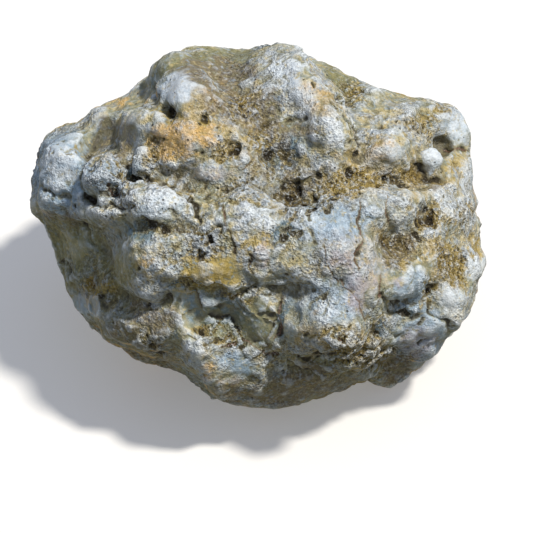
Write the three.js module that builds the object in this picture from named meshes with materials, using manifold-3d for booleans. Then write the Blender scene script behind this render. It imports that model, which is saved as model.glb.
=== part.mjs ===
// A quartz geode, whole and uncut: one lumpy nodule of chalcedony that rests on a small flat spot.
//
// Frame: millimetres, +Z up, +X along the nodule's length. The origin is at the middle of its box, on the
// surface that it rests on. Its best side, the show face, looks forward (-Y) and up. What lies on that face is
// placed by two sizes, [across, up]: along +X, and up the face at a right angle to it, from the nodule's middle.

import * as THREE from "three";
import { ImprovedNoise } from "three/addons/math/ImprovedNoise.js";
import { mergeVertices } from "three/addons/utils/BufferGeometryUtils.js";
import Module from "manifold-3d";

// Driving sizes
const halfLength = 65; // of the ellipsoid under the relief, along X
const halfDepth = 52.5; // along Y
const halfHeight = 41.5; // along Z
const faceElevation = THREE.MathUtils.degToRad(42); // how far above the horizon the show face looks
const flatCut = 2.5; // how much of the underside the flat spot takes off
const smoothUnder = [16, 46]; // how far round the flat spot the lumps stay away, and then grow back
const bodyDetail = 18; // cuts of each icosahedron edge in the body
const knobDetail = 2; // and in a knob or a pit
const faceFineness = 1.35; // how much finer the surface is in the middle of the show face than halfway round
const faceEdge = [-4, 14]; // where, out from the middle, the show face takes over from the lumps behind it
const reachOut = 1.3; // how far a swell or dome reaches out and in, against its larger reach
const rimSteps = 120; // parts in which the rim is fitted
const rimPull = [0.25, 0.95]; // where on the way out to the rim the fit starts, and where it is whole
const unevenness = { share: 0.1, waves: 1.7 }; // of the knobs and pits, against their half size
const slopeSpan = 4; // how far to each side a slope is measured

// The rim of the show face, anticlockwise from the left end.
const rim = [
  [-65, 9.5],
  [-64.5, 4],
  [-61, 0.5],
  [-58.5, -3],
  [-57.5, -9],
  [-56, -15.5],
  [-52.5, -22.5],
  [-48, -28.5],
  [-43.5, -33.5],
  [-38.5, -35.5],
  [-32.5, -39],
  [-25.5, -40.5],
  [-19, -43.5],
  [-14, -48],
  [-9.5, -51],
  [-2, -52],
  [5, -52.5],
  [12.5, -51.5],
  [19.5, -49.5],
  [28, -46.5],
  [33, -45.5],
  [38.5, -46],
  [44, -43.5],
  [49, -39.5],
  [54, -34],
  [59, -28],
  [63, -21],
  [65.5, -13],
  [64.5, -7],
  [65, -1],
  [64, 6],
  [62.5, 13.5],
  [61.5, 18.5],
  [62.5, 24],
  [60.5, 30.5],
  [57, 34],
  [51.5, 35.5],
  [44.5, 36],
  [38, 37.5],
  [30.5, 41],
  [22, 46],
  [14, 49.5],
  [9, 51],
  [3.5, 52],
  [-4, 51],
  [-9.5, 51.5],
  [-15, 51.5],
  [-21.5, 50],
  [-27.5, 47.5],
  [-32, 43],
  [-36, 39.5],
  [-39, 36.5],
  [-46, 33.5],
  [-52, 28.5],
  [-58.5, 26.5],
  [-62, 23.5],
  [-63.5, 18],
  [-65, 14],
];

// Broad rises (+) and hollows (-) of the show face: where, how far they reach across and up, turn, rise.
const swells = [
  { at: [-8, 31], reach: [42, 26], rise: 5 }, // the upper mass
  { at: [14.5, 38], reach: [22, 9], turn: -40, rise: 4 }, // its pale right ridge
  { at: [21, 24], reach: [12, 11], rise: 3 },
  { at: [-21.5, 37], reach: [12, 10], rise: 3 },
  { at: [-17, 24], reach: [19, 10], rise: 2.5 },
  { at: [-31, 27], reach: [8, 10], rise: 3 },
  { at: [-51, 13.5], reach: [18, 17], rise: 3.5 }, // the left lobes
  { at: [15, -11.5], reach: [48, 34], rise: 3.5 }, // the lower mass
  { at: [-30.5, -9.5], reach: [14, 20], rise: 6 }, // the belly beside the left recess
  { at: [20, -28], reach: [13, 15], rise: 5 }, // the bulge right of the fractures
  { at: [25, -7.5], reach: [11, 11], rise: 2.5 },
  { at: [29.5, -19], reach: [9, 11], rise: 2 },
  { at: [46, 31.5], reach: [22, 8], rise: 2.5 }, // the top right shoulder
  { at: [51, -2], reach: [16, 32], rise: 2 },
  { at: [46, -33.5], reach: [13, 12], rise: 3 },
  { at: [8, -46], reach: [24, 8], rise: 2 },
  { at: [-51, -10], reach: [17, 19], rise: -6 }, // the left recess
  { at: [10, 18], reach: [14, 19], turn: 12, rise: -5 }, // the grey hollow under the ridge
  { at: [-5.5, 45], reach: [11, 8], rise: -2.5 },
  { at: [-44.5, 24], reach: [6, 11], turn: -32, rise: -6 }, // between the lobes and the upper mass
  { at: [-34.5, 16.5], reach: [5.5, 11], turn: 8, rise: -5 },
  { at: [53, 22.5], reach: [8, 5], turn: 20, rise: -4.5 },
  { at: [46, 14], reach: [8, 5.5], turn: 15, rise: -3.5 },
  { at: [49, 18.5], reach: [8.5, 8], rise: -4 },
  { at: [48.5, 2], reach: [6, 6], rise: -3 },
  { at: [41.5, -5], reach: [8, 9], rise: -3 },
  { at: [39, -22], reach: [8, 5], rise: -3.5 },
  { at: [8, -20], reach: [12, 8], rise: -5 }, // the shaded hollow over the bulge
  { at: [-7, -27], reach: [20, 13], rise: -3.5 }, // the fractured hollow
  { at: [31, -40], reach: [13, 6], rise: -3.5 },
];

// Crevices: points along each, half width, depth.
const crevices = [
  {
    // between the upper and the lower mass
    path: [
      [-31, 13.5],
      [-24, 10.5],
      [-17, 11],
      [-11.5, 9.5],
      [-4.5, 12.5],
      [1.5, 13],
      [8, 8.5],
      [13, 5.5],
      [18.5, 9],
      [25, 11],
      [34.5, 11.5],
      [41.5, 13],
      [46, 11],
    ],
    halfWidth: 4,
    depth: 4,
  },
  {
    // its deepest stretch
    path: [
      [7, 10],
      [13, 8],
      [19, 11],
    ],
    halfWidth: 5.5,
    depth: 4,
  },
  {
    // under the belly
    path: [
      [-45, -22.5],
      [-40.5, -23.5],
      [-35.5, -24],
      [-30, -24],
      [-24, -22],
      [-22.5, -18],
    ],
    halfWidth: 3.5,
    depth: 5,
  },
  {
    // the step right of the pale ridge
    path: [
      [21, 37],
      [24.5, 31.5],
      [27, 25],
      [28.5, 19],
    ],
    halfWidth: 3,
    depth: 3.5,
  },
  {
    // from the fractures to the foot
    path: [
      [4.5, -16],
      [6, -24],
      [7.5, -29.5],
      [6.5, -36],
      [4.5, -43],
    ],
    halfWidth: 3,
    depth: 2,
  },
  {
    // under the bulge
    path: [
      [11, -38],
      [20.5, -36],
      [27, -32.5],
    ],
    halfWidth: 3,
    depth: 3,
  },
];

// Rounded domes of the show face: where, how far they reach across and up, turn, rise.
const domes = [
  { at: [-58.5, 6.5], reach: [6, 5], rise: 3.5 }, // on the left lobes
  { at: [-57, 14.5], reach: [6.5, 6], rise: 3 },
  { at: [-52, 19], reach: [9, 8.5], turn: 35, rise: 3.5 },
  { at: [-44, 30], reach: [7, 5], turn: 40, rise: 2.5 },
  { at: [-41, 2.5], reach: [8.5, 5.5], turn: 8, rise: 4 },
  { at: [-26.5, 5.5], reach: [10, 8.5], turn: -12, rise: 6 },
  { at: [-23, 40], reach: [8, 6.5], rise: 3 }, // on the upper mass
  { at: [-32, 29], reach: [6.5, 7.5], rise: 3 },
  { at: [-13.5, 31.5], reach: [8, 6], rise: 2 },
  { at: [-19, 25], reach: [9.5, 6], turn: 10, rise: 2.5 },
  { at: [8.5, 42.5], reach: [6, 6], rise: 2.5 },
  { at: [15, 35], reach: [6, 6.5], rise: 2.5 },
  { at: [22, 25.5], reach: [7, 8], rise: 2.5 },
  { at: [33.5, 36.5], reach: [6, 5], rise: 2.5 }, // on the top right shoulder
  { at: [40.5, 30.5], reach: [6, 5], rise: 2.5 },
  { at: [48.5, 30], reach: [5.5, 5], rise: 2.5 },
  { at: [36.5, 21.5], reach: [8, 6.5], turn: -15, rise: 5 },
  { at: [56.5, 26], reach: [7.5, 8.5], turn: 10, rise: 4.5 },
  { at: [56.5, 13.5], reach: [4.5, 4.5], rise: 2 },
  { at: [-3.5, 2.5], reach: [9, 6], turn: 20, rise: 2 }, // on the lower mass
  { at: [-12, -3], reach: [7, 7], rise: 2 },
  { at: [1.5, -6], reach: [7, 6], rise: 2 },
  { at: [-19, -10], reach: [7, 8], rise: 2 },
  { at: [15, -3], reach: [9, 8], rise: 2.5 },
  { at: [25, 5], reach: [8, 6], rise: 2 },
  { at: [34, 2.5], reach: [8, 7], rise: 2.5 },
  { at: [43.5, 4], reach: [6, 6], rise: 2 },
  { at: [25, -8.5], reach: [7.5, 8], rise: 1.5 },
  { at: [40, -14.5], reach: [7.5, 6.5], rise: 3 },
  { at: [20, -27], reach: [8, 8.5], rise: 2 },
  { at: [55, -21], reach: [7, 7.5], turn: 20, rise: 3.5 },
  { at: [60.5, -12], reach: [4.5, 5.5], rise: 3 },
  { at: [50.5, -26.5], reach: [6.5, 5], turn: -25, rise: 3 },
  { at: [46, -35], reach: [8.5, 6.5], turn: -30, rise: 2.5 },
  { at: [-16.5, -33.5], reach: [6.5, 7.5], turn: 25, rise: 4 }, // along the foot
  { at: [-12, -41.5], reach: [5.5, 6.5], turn: 20, rise: 3.5 },
  { at: [-2, -46.5], reach: [6, 4.5], rise: 2.5 },
  { at: [9.5, -46.5], reach: [7, 4.5], rise: 2.5 },
  { at: [-38.5, -30.5], reach: [7.5, 5.5], turn: -20, rise: 3 },
  { at: [-29, -33], reach: [7, 5], turn: -15, rise: 3 },
  { at: [-49, -23.5], reach: [6.5, 6], turn: -50, rise: 3 },
];

// Round knobs that stand free of the show face: where, their half sizes [across, up, out], turn, how far their
// middle stands out.
const knobs = [
  { at: [-42.5, 13.5], half: [6.5, 6, 6], stand: 1.5 },
  { at: [-35.5, 9], half: [3.2, 3.4, 3], stand: 0.5 },
  { at: [-30.5, 16.5], half: [3.6, 5.8, 4], turn: 35, stand: 1 },
  { at: [49.5, 18], half: [3.8, 3.7, 4], stand: 3 },
];

// Deep pits in the show face, sized as the knobs are.
const pits = [
  { at: [-24.5, 31.5], half: [4.4, 2.4, 4], turn: -15 },
  { at: [-7, 21], half: [4, 2.2, 3] },
  { at: [-46.5, 6.2], half: [3.4, 2, 4], turn: -10 },
  { at: [-47.5, -17.5], half: [1.7, 1.7, 3] },
  { at: [48.5, 1.2], half: [2.4, 3, 3] },
  { at: [53, 23], half: [3.4, 2.2, 3.5], turn: 25 },
];

// Flat fractures where flakes broke away: where, how much each plane tips from the surface round it
// [across, up], its radius, its bite.
const fractures = [
  { at: [-14, -24], tip: [0.05, -0.2], radius: 9, bite: 1.2 },
  { at: [-3, -27], tip: [-0.15, -0.15], radius: 9, bite: 1.2 },
  { at: [-4, -18.5], tip: [0, 0.2], radius: 6, bite: 1 },
  { at: [-1, -38], tip: [0.1, 0], radius: 8, bite: 1.2 },
  { at: [28, -37], tip: [-0.15, -0.25], radius: 7, bite: 1.4 },
  { at: [36, -38.5], tip: [0.25, 0.1], radius: 6, bite: 1.4 },
];

// Lumps over the rest of the nodule, spread evenly, and the valleys that wind between them.
const lumps = { count: 80, reach: [9, 17], rise: [2.5, 6], seed: 11 };
const valleys = { wave: 34, halfWidth: 0.09, depth: 3 };

// Roughness: wavelength and height of each layer of noise.
const roughness = [
  { wave: 19, height: 1.3 },
  { wave: 8.5, height: 0.7 },
];

const acrossAxis = new THREE.Vector3(1, 0, 0);
const upAxis = new THREE.Vector3(0, Math.sin(faceElevation), Math.cos(faceElevation));
const outAxis = new THREE.Vector3(0, -Math.cos(faceElevation), Math.sin(faceElevation));
const faceToWorld = new THREE.Matrix4().makeBasis(acrossAxis, upAxis, outAxis);
const worldToFace = faceToWorld.clone().transpose();
const bodyHalf = new THREE.Vector3(halfLength, halfDepth, halfHeight);
const lowest = new THREE.Vector3(0, 0, -halfHeight).applyMatrix4(worldToFace);

// A unit geodesic ball with shared vertices.
function geodesic(detail) {
  const ball = new THREE.IcosahedronGeometry(1, detail);
  ball.deleteAttribute("normal");
  ball.deleteAttribute("uv");
  return mergeVertices(ball, 1e-5);
}

// Draws a unit ball's points together in front of it and apart behind it, and keeps the triangles' shapes.
function finerInFront(point) {
  const depth = point.dot(outAxis);
  const flat = point.addScaledVector(outAxis, -depth).divideScalar((1 + depth + 1e-9) * faceFineness);
  const size = flat.lengthSq();
  return flat.multiplyScalar(2).addScaledVector(outAxis, 1 - size).divideScalar(1 + size);
}

// The point of the plain ellipsoid's near side at a place on the show face, in face axes.
function onEllipsoid([across, up]) {
  const eye = new THREE.Vector3(across, up, 0).applyMatrix4(faceToWorld).divide(bodyHalf);
  const ray = outAxis.clone().divide(bodyHalf);
  const a = ray.lengthSq();
  const b = eye.dot(ray);
  const c = eye.lengthSq() - 1;
  return new THREE.Vector3(across, up, (Math.sqrt(Math.max(b * b - a * c, 0)) - b) / a);
}

// How far a point is from a place, as a share of the reach: 0 at its middle and 1 at its edge.
function share(point, middle, reach, turn = 0) {
  const angle = THREE.MathUtils.degToRad(turn);
  const dx = point.x - middle.x;
  const dy = point.y - middle.y;
  const along = dx * Math.cos(angle) + dy * Math.sin(angle);
  const aside = dy * Math.cos(angle) - dx * Math.sin(angle);
  const deep = (point.z - middle.z) / (reachOut * Math.max(...reach));
  return Math.hypot(along / reach[0], aside / reach[1], deep);
}

// Two profiles, 1 at share 0 and 0 from share 1 on: a smooth hump and a round dome.
function hump(t) {
  return t < 1 ? (1 - t * t) ** 2 : 0;
}

function dome(t) {
  return t < 1 ? Math.sqrt(1 - t * t) : 0;
}

// The distance across the face from a point to a crevice's path.
function fromPath(point, path) {
  const flat = new THREE.Vector3(point.x, point.y, 0);
  const nearest = new THREE.Vector3();
  let least = Infinity;
  for (let i = 1; i < path.length; i++) {
    const start = new THREE.Vector3(...path[i - 1], 0);
    const end = new THREE.Vector3(...path[i], 0);
    new THREE.Line3(start, end).closestPointToPoint(flat, true, nearest);
    least = Math.min(least, nearest.distanceTo(flat));
  }
  return least;
}

// The lumps of the sides, back and underside: a spiral of middles over the ellipsoid, in face axes.
function spreadLumps() {
  const random = THREE.MathUtils.seededRandom;
  const between = ([low, high]) => low + (high - low) * random();
  const goldenAngle = Math.PI * (3 - Math.sqrt(5));
  random(lumps.seed);
  return Array.from({ length: lumps.count }, (_, i) => {
    const height = 1 - (2 * (i + 0.5)) / lumps.count;
    const ring = Math.sqrt(1 - height * height);
    const middle = new THREE.Vector3().setFromCylindricalCoords(ring, i * goldenAngle, height);
    middle.multiply(bodyHalf).applyMatrix4(worldToFace);
    return { middle, reach: between(lumps.reach), rise: between(lumps.rise) };
  });
}

// How far the relief lifts a point of the ellipsoid, in face axes.
function reliefAt(point, broad, round, spread, noise) {
  const onFace = THREE.MathUtils.smoothstep(point.z, ...faceEdge);
  let lift = 0;
  for (const s of broad) lift += s.rise * hump(share(point, s.middle, s.reach, s.turn));
  for (const d of round) lift += d.rise * dome(share(point, d.middle, d.reach, d.turn));
  for (const c of crevices)
    lift -= onFace * c.depth * hump(fromPath(point, c.path) / c.halfWidth);
  const lump = Math.max(...spread.map((l) => l.rise * dome(point.distanceTo(l.middle) / l.reach)));
  const away = THREE.MathUtils.smoothstep(point.distanceTo(lowest), ...smoothUnder);
  const noiseAt = (wave) => noise.noise(point.x / wave, point.y / wave, point.z / wave);
  const valley = valleys.depth * hump(Math.abs(noiseAt(valleys.wave)) / valleys.halfWidth);
  lift += (1 - onFace) * away * (lump - valley);
  for (const { wave, height } of roughness) lift += height * noiseAt(wave);
  return lift;
}

// Draws the body's rim out or in to the rim of the show face, and less and less towards the face's middle.
function fitToRim(points) {
  const bin = (p) => ((Math.atan2(p.y, p.x) / (2 * Math.PI) + 1) * rimSteps) % rimSteps;
  const wanted = new THREE.CatmullRomCurve3(
    rim.map(([x, y]) => new THREE.Vector3(x, y, 0)),
    true,
  ).getPoints(12 * rimSteps);
  const radiusOf = (list) => {
    const radius = new Array(rimSteps).fill(0);
    for (const p of list) {
      const i = Math.floor(bin(p));
      radius[i] = Math.max(radius[i], Math.hypot(p.x, p.y));
    }
    return radius;
  };
  const target = radiusOf(wanted);
  const present = radiusOf(points);
  const stretch = present.map((r, i) => target[i] / r);
  for (const p of points) {
    const place = bin(p) - 0.5 + rimSteps;
    const low = Math.floor(place);
    const blend = place - low;
    const near = low % rimSteps;
    const next = (low + 1) % rimSteps;
    const reach = present[near] * (1 - blend) + present[next] * blend;
    const full = stretch[near] * (1 - blend) + stretch[next] * blend;
    const weight = THREE.MathUtils.smoothstep(Math.hypot(p.x, p.y) / reach, ...rimPull);
    p.x *= 1 + (full - 1) * weight;
    p.y *= 1 + (full - 1) * weight;
  }
}

// The body's surface, in face axes, as a list of points and the geometry that they belong to.
function makeBody() {
  const geometry = geodesic(bodyDetail);
  const position = geometry.getAttribute("position");
  const placed = (list) => list.map((f) => ({ ...f, middle: onEllipsoid(f.at) }));
  const broad = placed(swells);
  const round = placed(domes);
  const spread = spreadLumps();
  const noise = new ImprovedNoise();
  const points = [];
  for (let i = 0; i < position.count; i++) {
    const onBall = finerInFront(new THREE.Vector3().fromBufferAttribute(position, i));
    const normal = onBall.clone().divide(bodyHalf).normalize().applyMatrix4(worldToFace);
    const point = onBall.multiply(bodyHalf).applyMatrix4(worldToFace);
    points.push(point.addScaledVector(normal, reliefAt(point, broad, round, spread, noise)));
  }
  fitToRim(points);
  points.forEach((p, i) => position.setXYZ(i, p.x, p.y, p.z));
  return { geometry, points };
}

// The body's surface at a place on the show face: the mean of its three nearest points.
function onBody(points, [across, up]) {
  const far = (p) => Math.hypot(p.x - across, p.y - up);
  const near = points
    .filter((p) => p.z > 0)
    .sort((p, q) => far(p) - far(q))
    .slice(0, 3);
  const out = near.reduce((sum, p) => sum + p.z, 0) / near.length;
  return new THREE.Vector3(across, up, out);
}

// A slightly uneven egg in face axes, for a knob or a pit.
function egg({ at, half, turn = 0, stand = 0 }, points) {
  const geometry = geodesic(knobDetail);
  const middle = onBody(points, at);
  const noise = new ImprovedNoise();
  const position = geometry.getAttribute("position");
  for (let i = 0; i < position.count; i++) {
    const p = new THREE.Vector3().fromBufferAttribute(position, i);
    const q = p.clone().multiplyScalar(unevenness.waves);
    p.multiplyScalar(1 + unevenness.share * noise.noise(q.x + at[0], q.y + at[1], q.z));
    position.setXYZ(i, p.x, p.y, p.z);
  }
  geometry.scale(...half).rotateZ(THREE.MathUtils.degToRad(turn));
  return geometry.translate(middle.x, middle.y, middle.z + stand);
}

// The direction that the body's surface faces at a place on the show face, in face axes.
function facing(points, [across, up]) {
  const out = (x, y) => onBody(points, [across + x, up + y]).z;
  const slope = (x, y) => (out(x, y) - out(-x, -y)) / (2 * slopeSpan);
  return new THREE.Vector3(-slope(slopeSpan, 0), -slope(0, slopeSpan), 1).normalize();
}

// A five-sided block whose near side is a fracture's plane, in face axes.
function flake({ at, tip, radius, bite }, points) {
  const deep = halfHeight / 2;
  const direction = facing(points, at).add(new THREE.Vector3(...tip, 0)).normalize();
  const turned = new THREE.Quaternion().setFromUnitVectors(new THREE.Vector3(0, 1, 0), direction);
  const middle = onBody(points, at).addScaledVector(direction, deep / 2 - bite);
  const geometry = new THREE.CylinderGeometry(radius, radius, deep, 5).rotateY(at[0]);
  return geometry.applyQuaternion(turned).translate(...middle.toArray());
}

const wasm = await Module();
wasm.setup();

// A closed geometry as a solid that can be joined and cut.
function solidOf(geometry) {
  const plain = geometry.clone();
  plain.deleteAttribute("normal");
  plain.deleteAttribute("uv");
  const merged = mergeVertices(plain, 1e-4);
  return new wasm.Manifold(
    new wasm.Mesh({
      numProp: 3,
      vertProperties: new Float32Array(merged.getAttribute("position").array),
      triVerts: new Uint32Array(merged.index.array),
    }),
  );
}

// A solid as a geometry again.
function geometryOf(solid) {
  const mesh = solid.getMesh();
  return new THREE.BufferGeometry()
    .setAttribute("position", new THREE.BufferAttribute(new Float32Array(mesh.vertProperties), 3))
    .setIndex(new THREE.BufferAttribute(new Uint32Array(mesh.triVerts), 1));
}

// Moves a geometry to the part's frame, and cuts the flat spot.
function standOnFlat(geometry) {
  geometry.applyMatrix4(faceToWorld);
  geometry.computeBoundingBox();
  const box = geometry.boundingBox;
  geometry.translate(
    -(box.min.x + box.max.x) / 2,
    -(box.min.y + box.max.y) / 2,
    -box.min.z - flatCut,
  );
  const side = 4 * halfLength;
  const ground = new THREE.BoxGeometry(side, side, side).translate(0, 0, -side / 2);
  return geometryOf(solidOf(geometry).subtract(solidOf(ground)));
}

function makeGeode() {
  const { geometry, points } = makeBody();
  let stone = solidOf(geometry);
  for (const f of fractures) stone = stone.subtract(solidOf(flake(f, points)));
  for (const k of knobs) stone = stone.add(solidOf(egg(k, points)));
  for (const p of pits) stone = stone.subtract(solidOf(egg(p, points)));
  const chalcedony = new THREE.MeshStandardMaterial({
    color: 0xb9b6ab,
    roughness: 0.75,
    metalness: 0,
    flatShading: true,
  });
  const mesh = new THREE.Mesh(standOnFlat(geometryOf(stone)), chalcedony);
  mesh.name = "geode";
  return mesh;
}

const geode = new THREE.Group();
geode.add(makeGeode());

export default geode;
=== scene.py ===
import math

import bmesh
import bpy
import numpy as np
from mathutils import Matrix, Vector


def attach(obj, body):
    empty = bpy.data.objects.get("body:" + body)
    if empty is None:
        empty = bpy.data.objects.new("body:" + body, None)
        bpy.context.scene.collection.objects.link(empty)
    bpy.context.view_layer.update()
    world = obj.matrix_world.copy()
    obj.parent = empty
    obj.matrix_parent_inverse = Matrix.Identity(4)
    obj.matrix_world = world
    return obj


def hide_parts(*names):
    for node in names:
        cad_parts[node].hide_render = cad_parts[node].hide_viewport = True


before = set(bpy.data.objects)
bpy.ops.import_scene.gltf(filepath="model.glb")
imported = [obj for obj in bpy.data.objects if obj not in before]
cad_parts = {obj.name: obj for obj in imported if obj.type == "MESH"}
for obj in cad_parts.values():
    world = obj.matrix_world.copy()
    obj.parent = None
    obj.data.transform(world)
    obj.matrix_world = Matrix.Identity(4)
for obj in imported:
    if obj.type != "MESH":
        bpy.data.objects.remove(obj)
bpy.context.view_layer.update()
mm = 0.001

# The camera looks down on the show face from well back, with a long lens.
shot = {
    "elevation": 42,  # degrees above the horizon
    "distance": 1269,  # mm, to the nodule's middle
    "lens": 300,  # mm
    "sensor": 36,  # mm
    "aside": [2.9, -12],  # mm [across, up], from the nodule's middle to the middle of the picture
    "clip": [0.05, 20],  # m
}

# Sun from the upper right, a pale blue sky, and a dull ground that lights the nodule from below.
lighting = {
    "sunFrom": [0.42, -0.12, 0.90],
    "sun": 3.15,
    "sunColour": "#fffbf3",
    "sunWidth": 6,  # degrees across, which softens the shadow's edge
    "sky": 0.40,
    "skyColour": "#cddcf8",
    "ground": 0.44,
    "groundColour": "#a39c70",
    "horizon": [-0.25, 0.15],  # the heights of view between which the ground gives way to the sky
    "floorSize": 60,  # m
    "floorColour": "#e6e4e0",
    "floorRoughness": 0.95,
    "floorGloss": 0.1,
    "floorGlow": 0.21,
    "glowColour": "#fdfaf9",
}

# How the solid becomes a weathered stone, in mm.
body = {
    "voxel": 0.45,
    "weld": 0.002,  # points nearer to each other than this are joined
    "smoothing": 36,  # rounds that take the facets away
    "pulls": (0.5, -0.52),  # each round draws the points in and out again, which keeps the size
    "broadRounds": 150,  # plain rounds down to the broad form
    "deepest": 0.6,  # a hollow deeper than this is filled to the share below of what is over
    "keptDepth": 0.2,
    "filledRounds": 10,  # plain rounds once the hollows are filled
    "settled": 0.3,  # share of the solid's lumps that weather has levelled
    "normalRounds": 12,  # rounds that smooth the normals
    "softRounds": 3,  # rounds with both pulls once the mesh is evened out
    "facing": [0.02, 0.25],  # how squarely the camera is faced where the show face starts and is full
    "patchFade": [0.4, 1.4],  # shares of the half size where a patch starts to fade and is gone
    "frayed": [[9, 1.6], [3.6, 1.1], [1.5, 0.5]],  # wave and reach of what makes the lists' outlines uneven
    "stainFrayed": [[6, 2.2], [2.4, 1.4], [1.1, 0.7]],
    "pitFrayed": [[1.1, 0.4]],
    "planeEdge": [-0.3, 0.6],  # how far inside a fracture's outline its plane starts and is full
    "planeShare": 0.8,  # how far the surface is drawn to the plane
    "planeCalm": [-0.4, 0.5],  # the same edge for its smoothness
    "planeStain": [-0.8, 1],  # the same edge for its stain
    "planeStained": 0.8,
    "stepDip": 0.35,  # how deep the low side of a step dips, against the step's height
    "creaseShare": 0.8,  # how much of a crease's depth the last smoothing leaves to cut
    "creaseLeast": 0.4,  # the narrowest half width that the mesh can hold
    "pitShare": 0.65,
    "hairline": 0.5,  # a crease with a half width up to this holds a dark line
    "farOff": 9,  # the distance to a hairline where there is none near
    "cloudWaves": [19, 7],  # of the stains behind the show face
    "cloudEdge": [0.15, 0.65],
    "cloudShare": 0.8,
    "rest": 0.05,  # points of the solid below this lie in the flat spot
    "detailRounds": [10, 110],  # rounds down to the forms that fine and broad hollows are measured from
    "triangles": 194000,
    "seed": 7,
}

# Each form below is [across, up, half size across, half size up, turn, amount], in mm and degrees. A turn of
# 0 is left out.

# Broad rises and hollows. The amount is the rise.
swells = [
    [2.5, 28, 14, 5, -65, -2.6], [8, 15, 9, 5, -25, -1.3], [-7, 41, 10, 5, -12, -2],
    [15, 34.5, 17, 6.5, -50, 2.6], [-45, 24, 4.5, 9, -25, -2.4], [-37, 27, 5, 8, -20, 1],
    [-20, 25, 9, 6, 5, 1.2], [-23, 14, 7, 3.5, 8, -1.6], [13, 9, 7, 3.5, 20, -1.4],
    [-8, -26, 15, 9, -5, -1.2], [-17, -34, 5, 6, 1.6], [0, 1, 9, 5, -35, 0.8], [-50, -10, 11, 13, 15, -1.4],
    [41, -6, 6, 6, -20, -1], [50, -24, 4, 9, 25, -0.8], [56, -21, 6, 8, 15, 1], [39, -40, 5, 6, 30, -1.6],
    [12, -43, 8, 3.5, 5, -1.4], [30, 17, 8, 3, -10, -1], [26, -12, 9, 8, 0.8], [-30, 40, 4, 7, -15, -1.2],
]

# Where weather has levelled the solid's lumps further. The amount is the share.
levelled = [
    [-35.5, 16, 4, 5, 0.85], [-44, 13.5, 7, 7, 0.55], [12, 7, 10, 7, 20, 0.85], [-32, 19, 4, 4, 0.5],
    [-4, -41, 5, 4, 0.5], [-23, 38, 8, 9, 0.6], [-27, 32.5, 5, 4, -20, 0.85], [-33.5, 16.5, 6, 7, 0.95],
    [-37, 30, 6, 5, 0.6], [41, -16, 7, 5, 0.6], [14, 34, 13, 7, -50, 0.8], [-37, -24, 10, 5, -12, 0.85],
    [-32, -27.5, 7, 5, -15, 1], [-44, -17, 8, 5.5, -20, 0.95],
]

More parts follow.
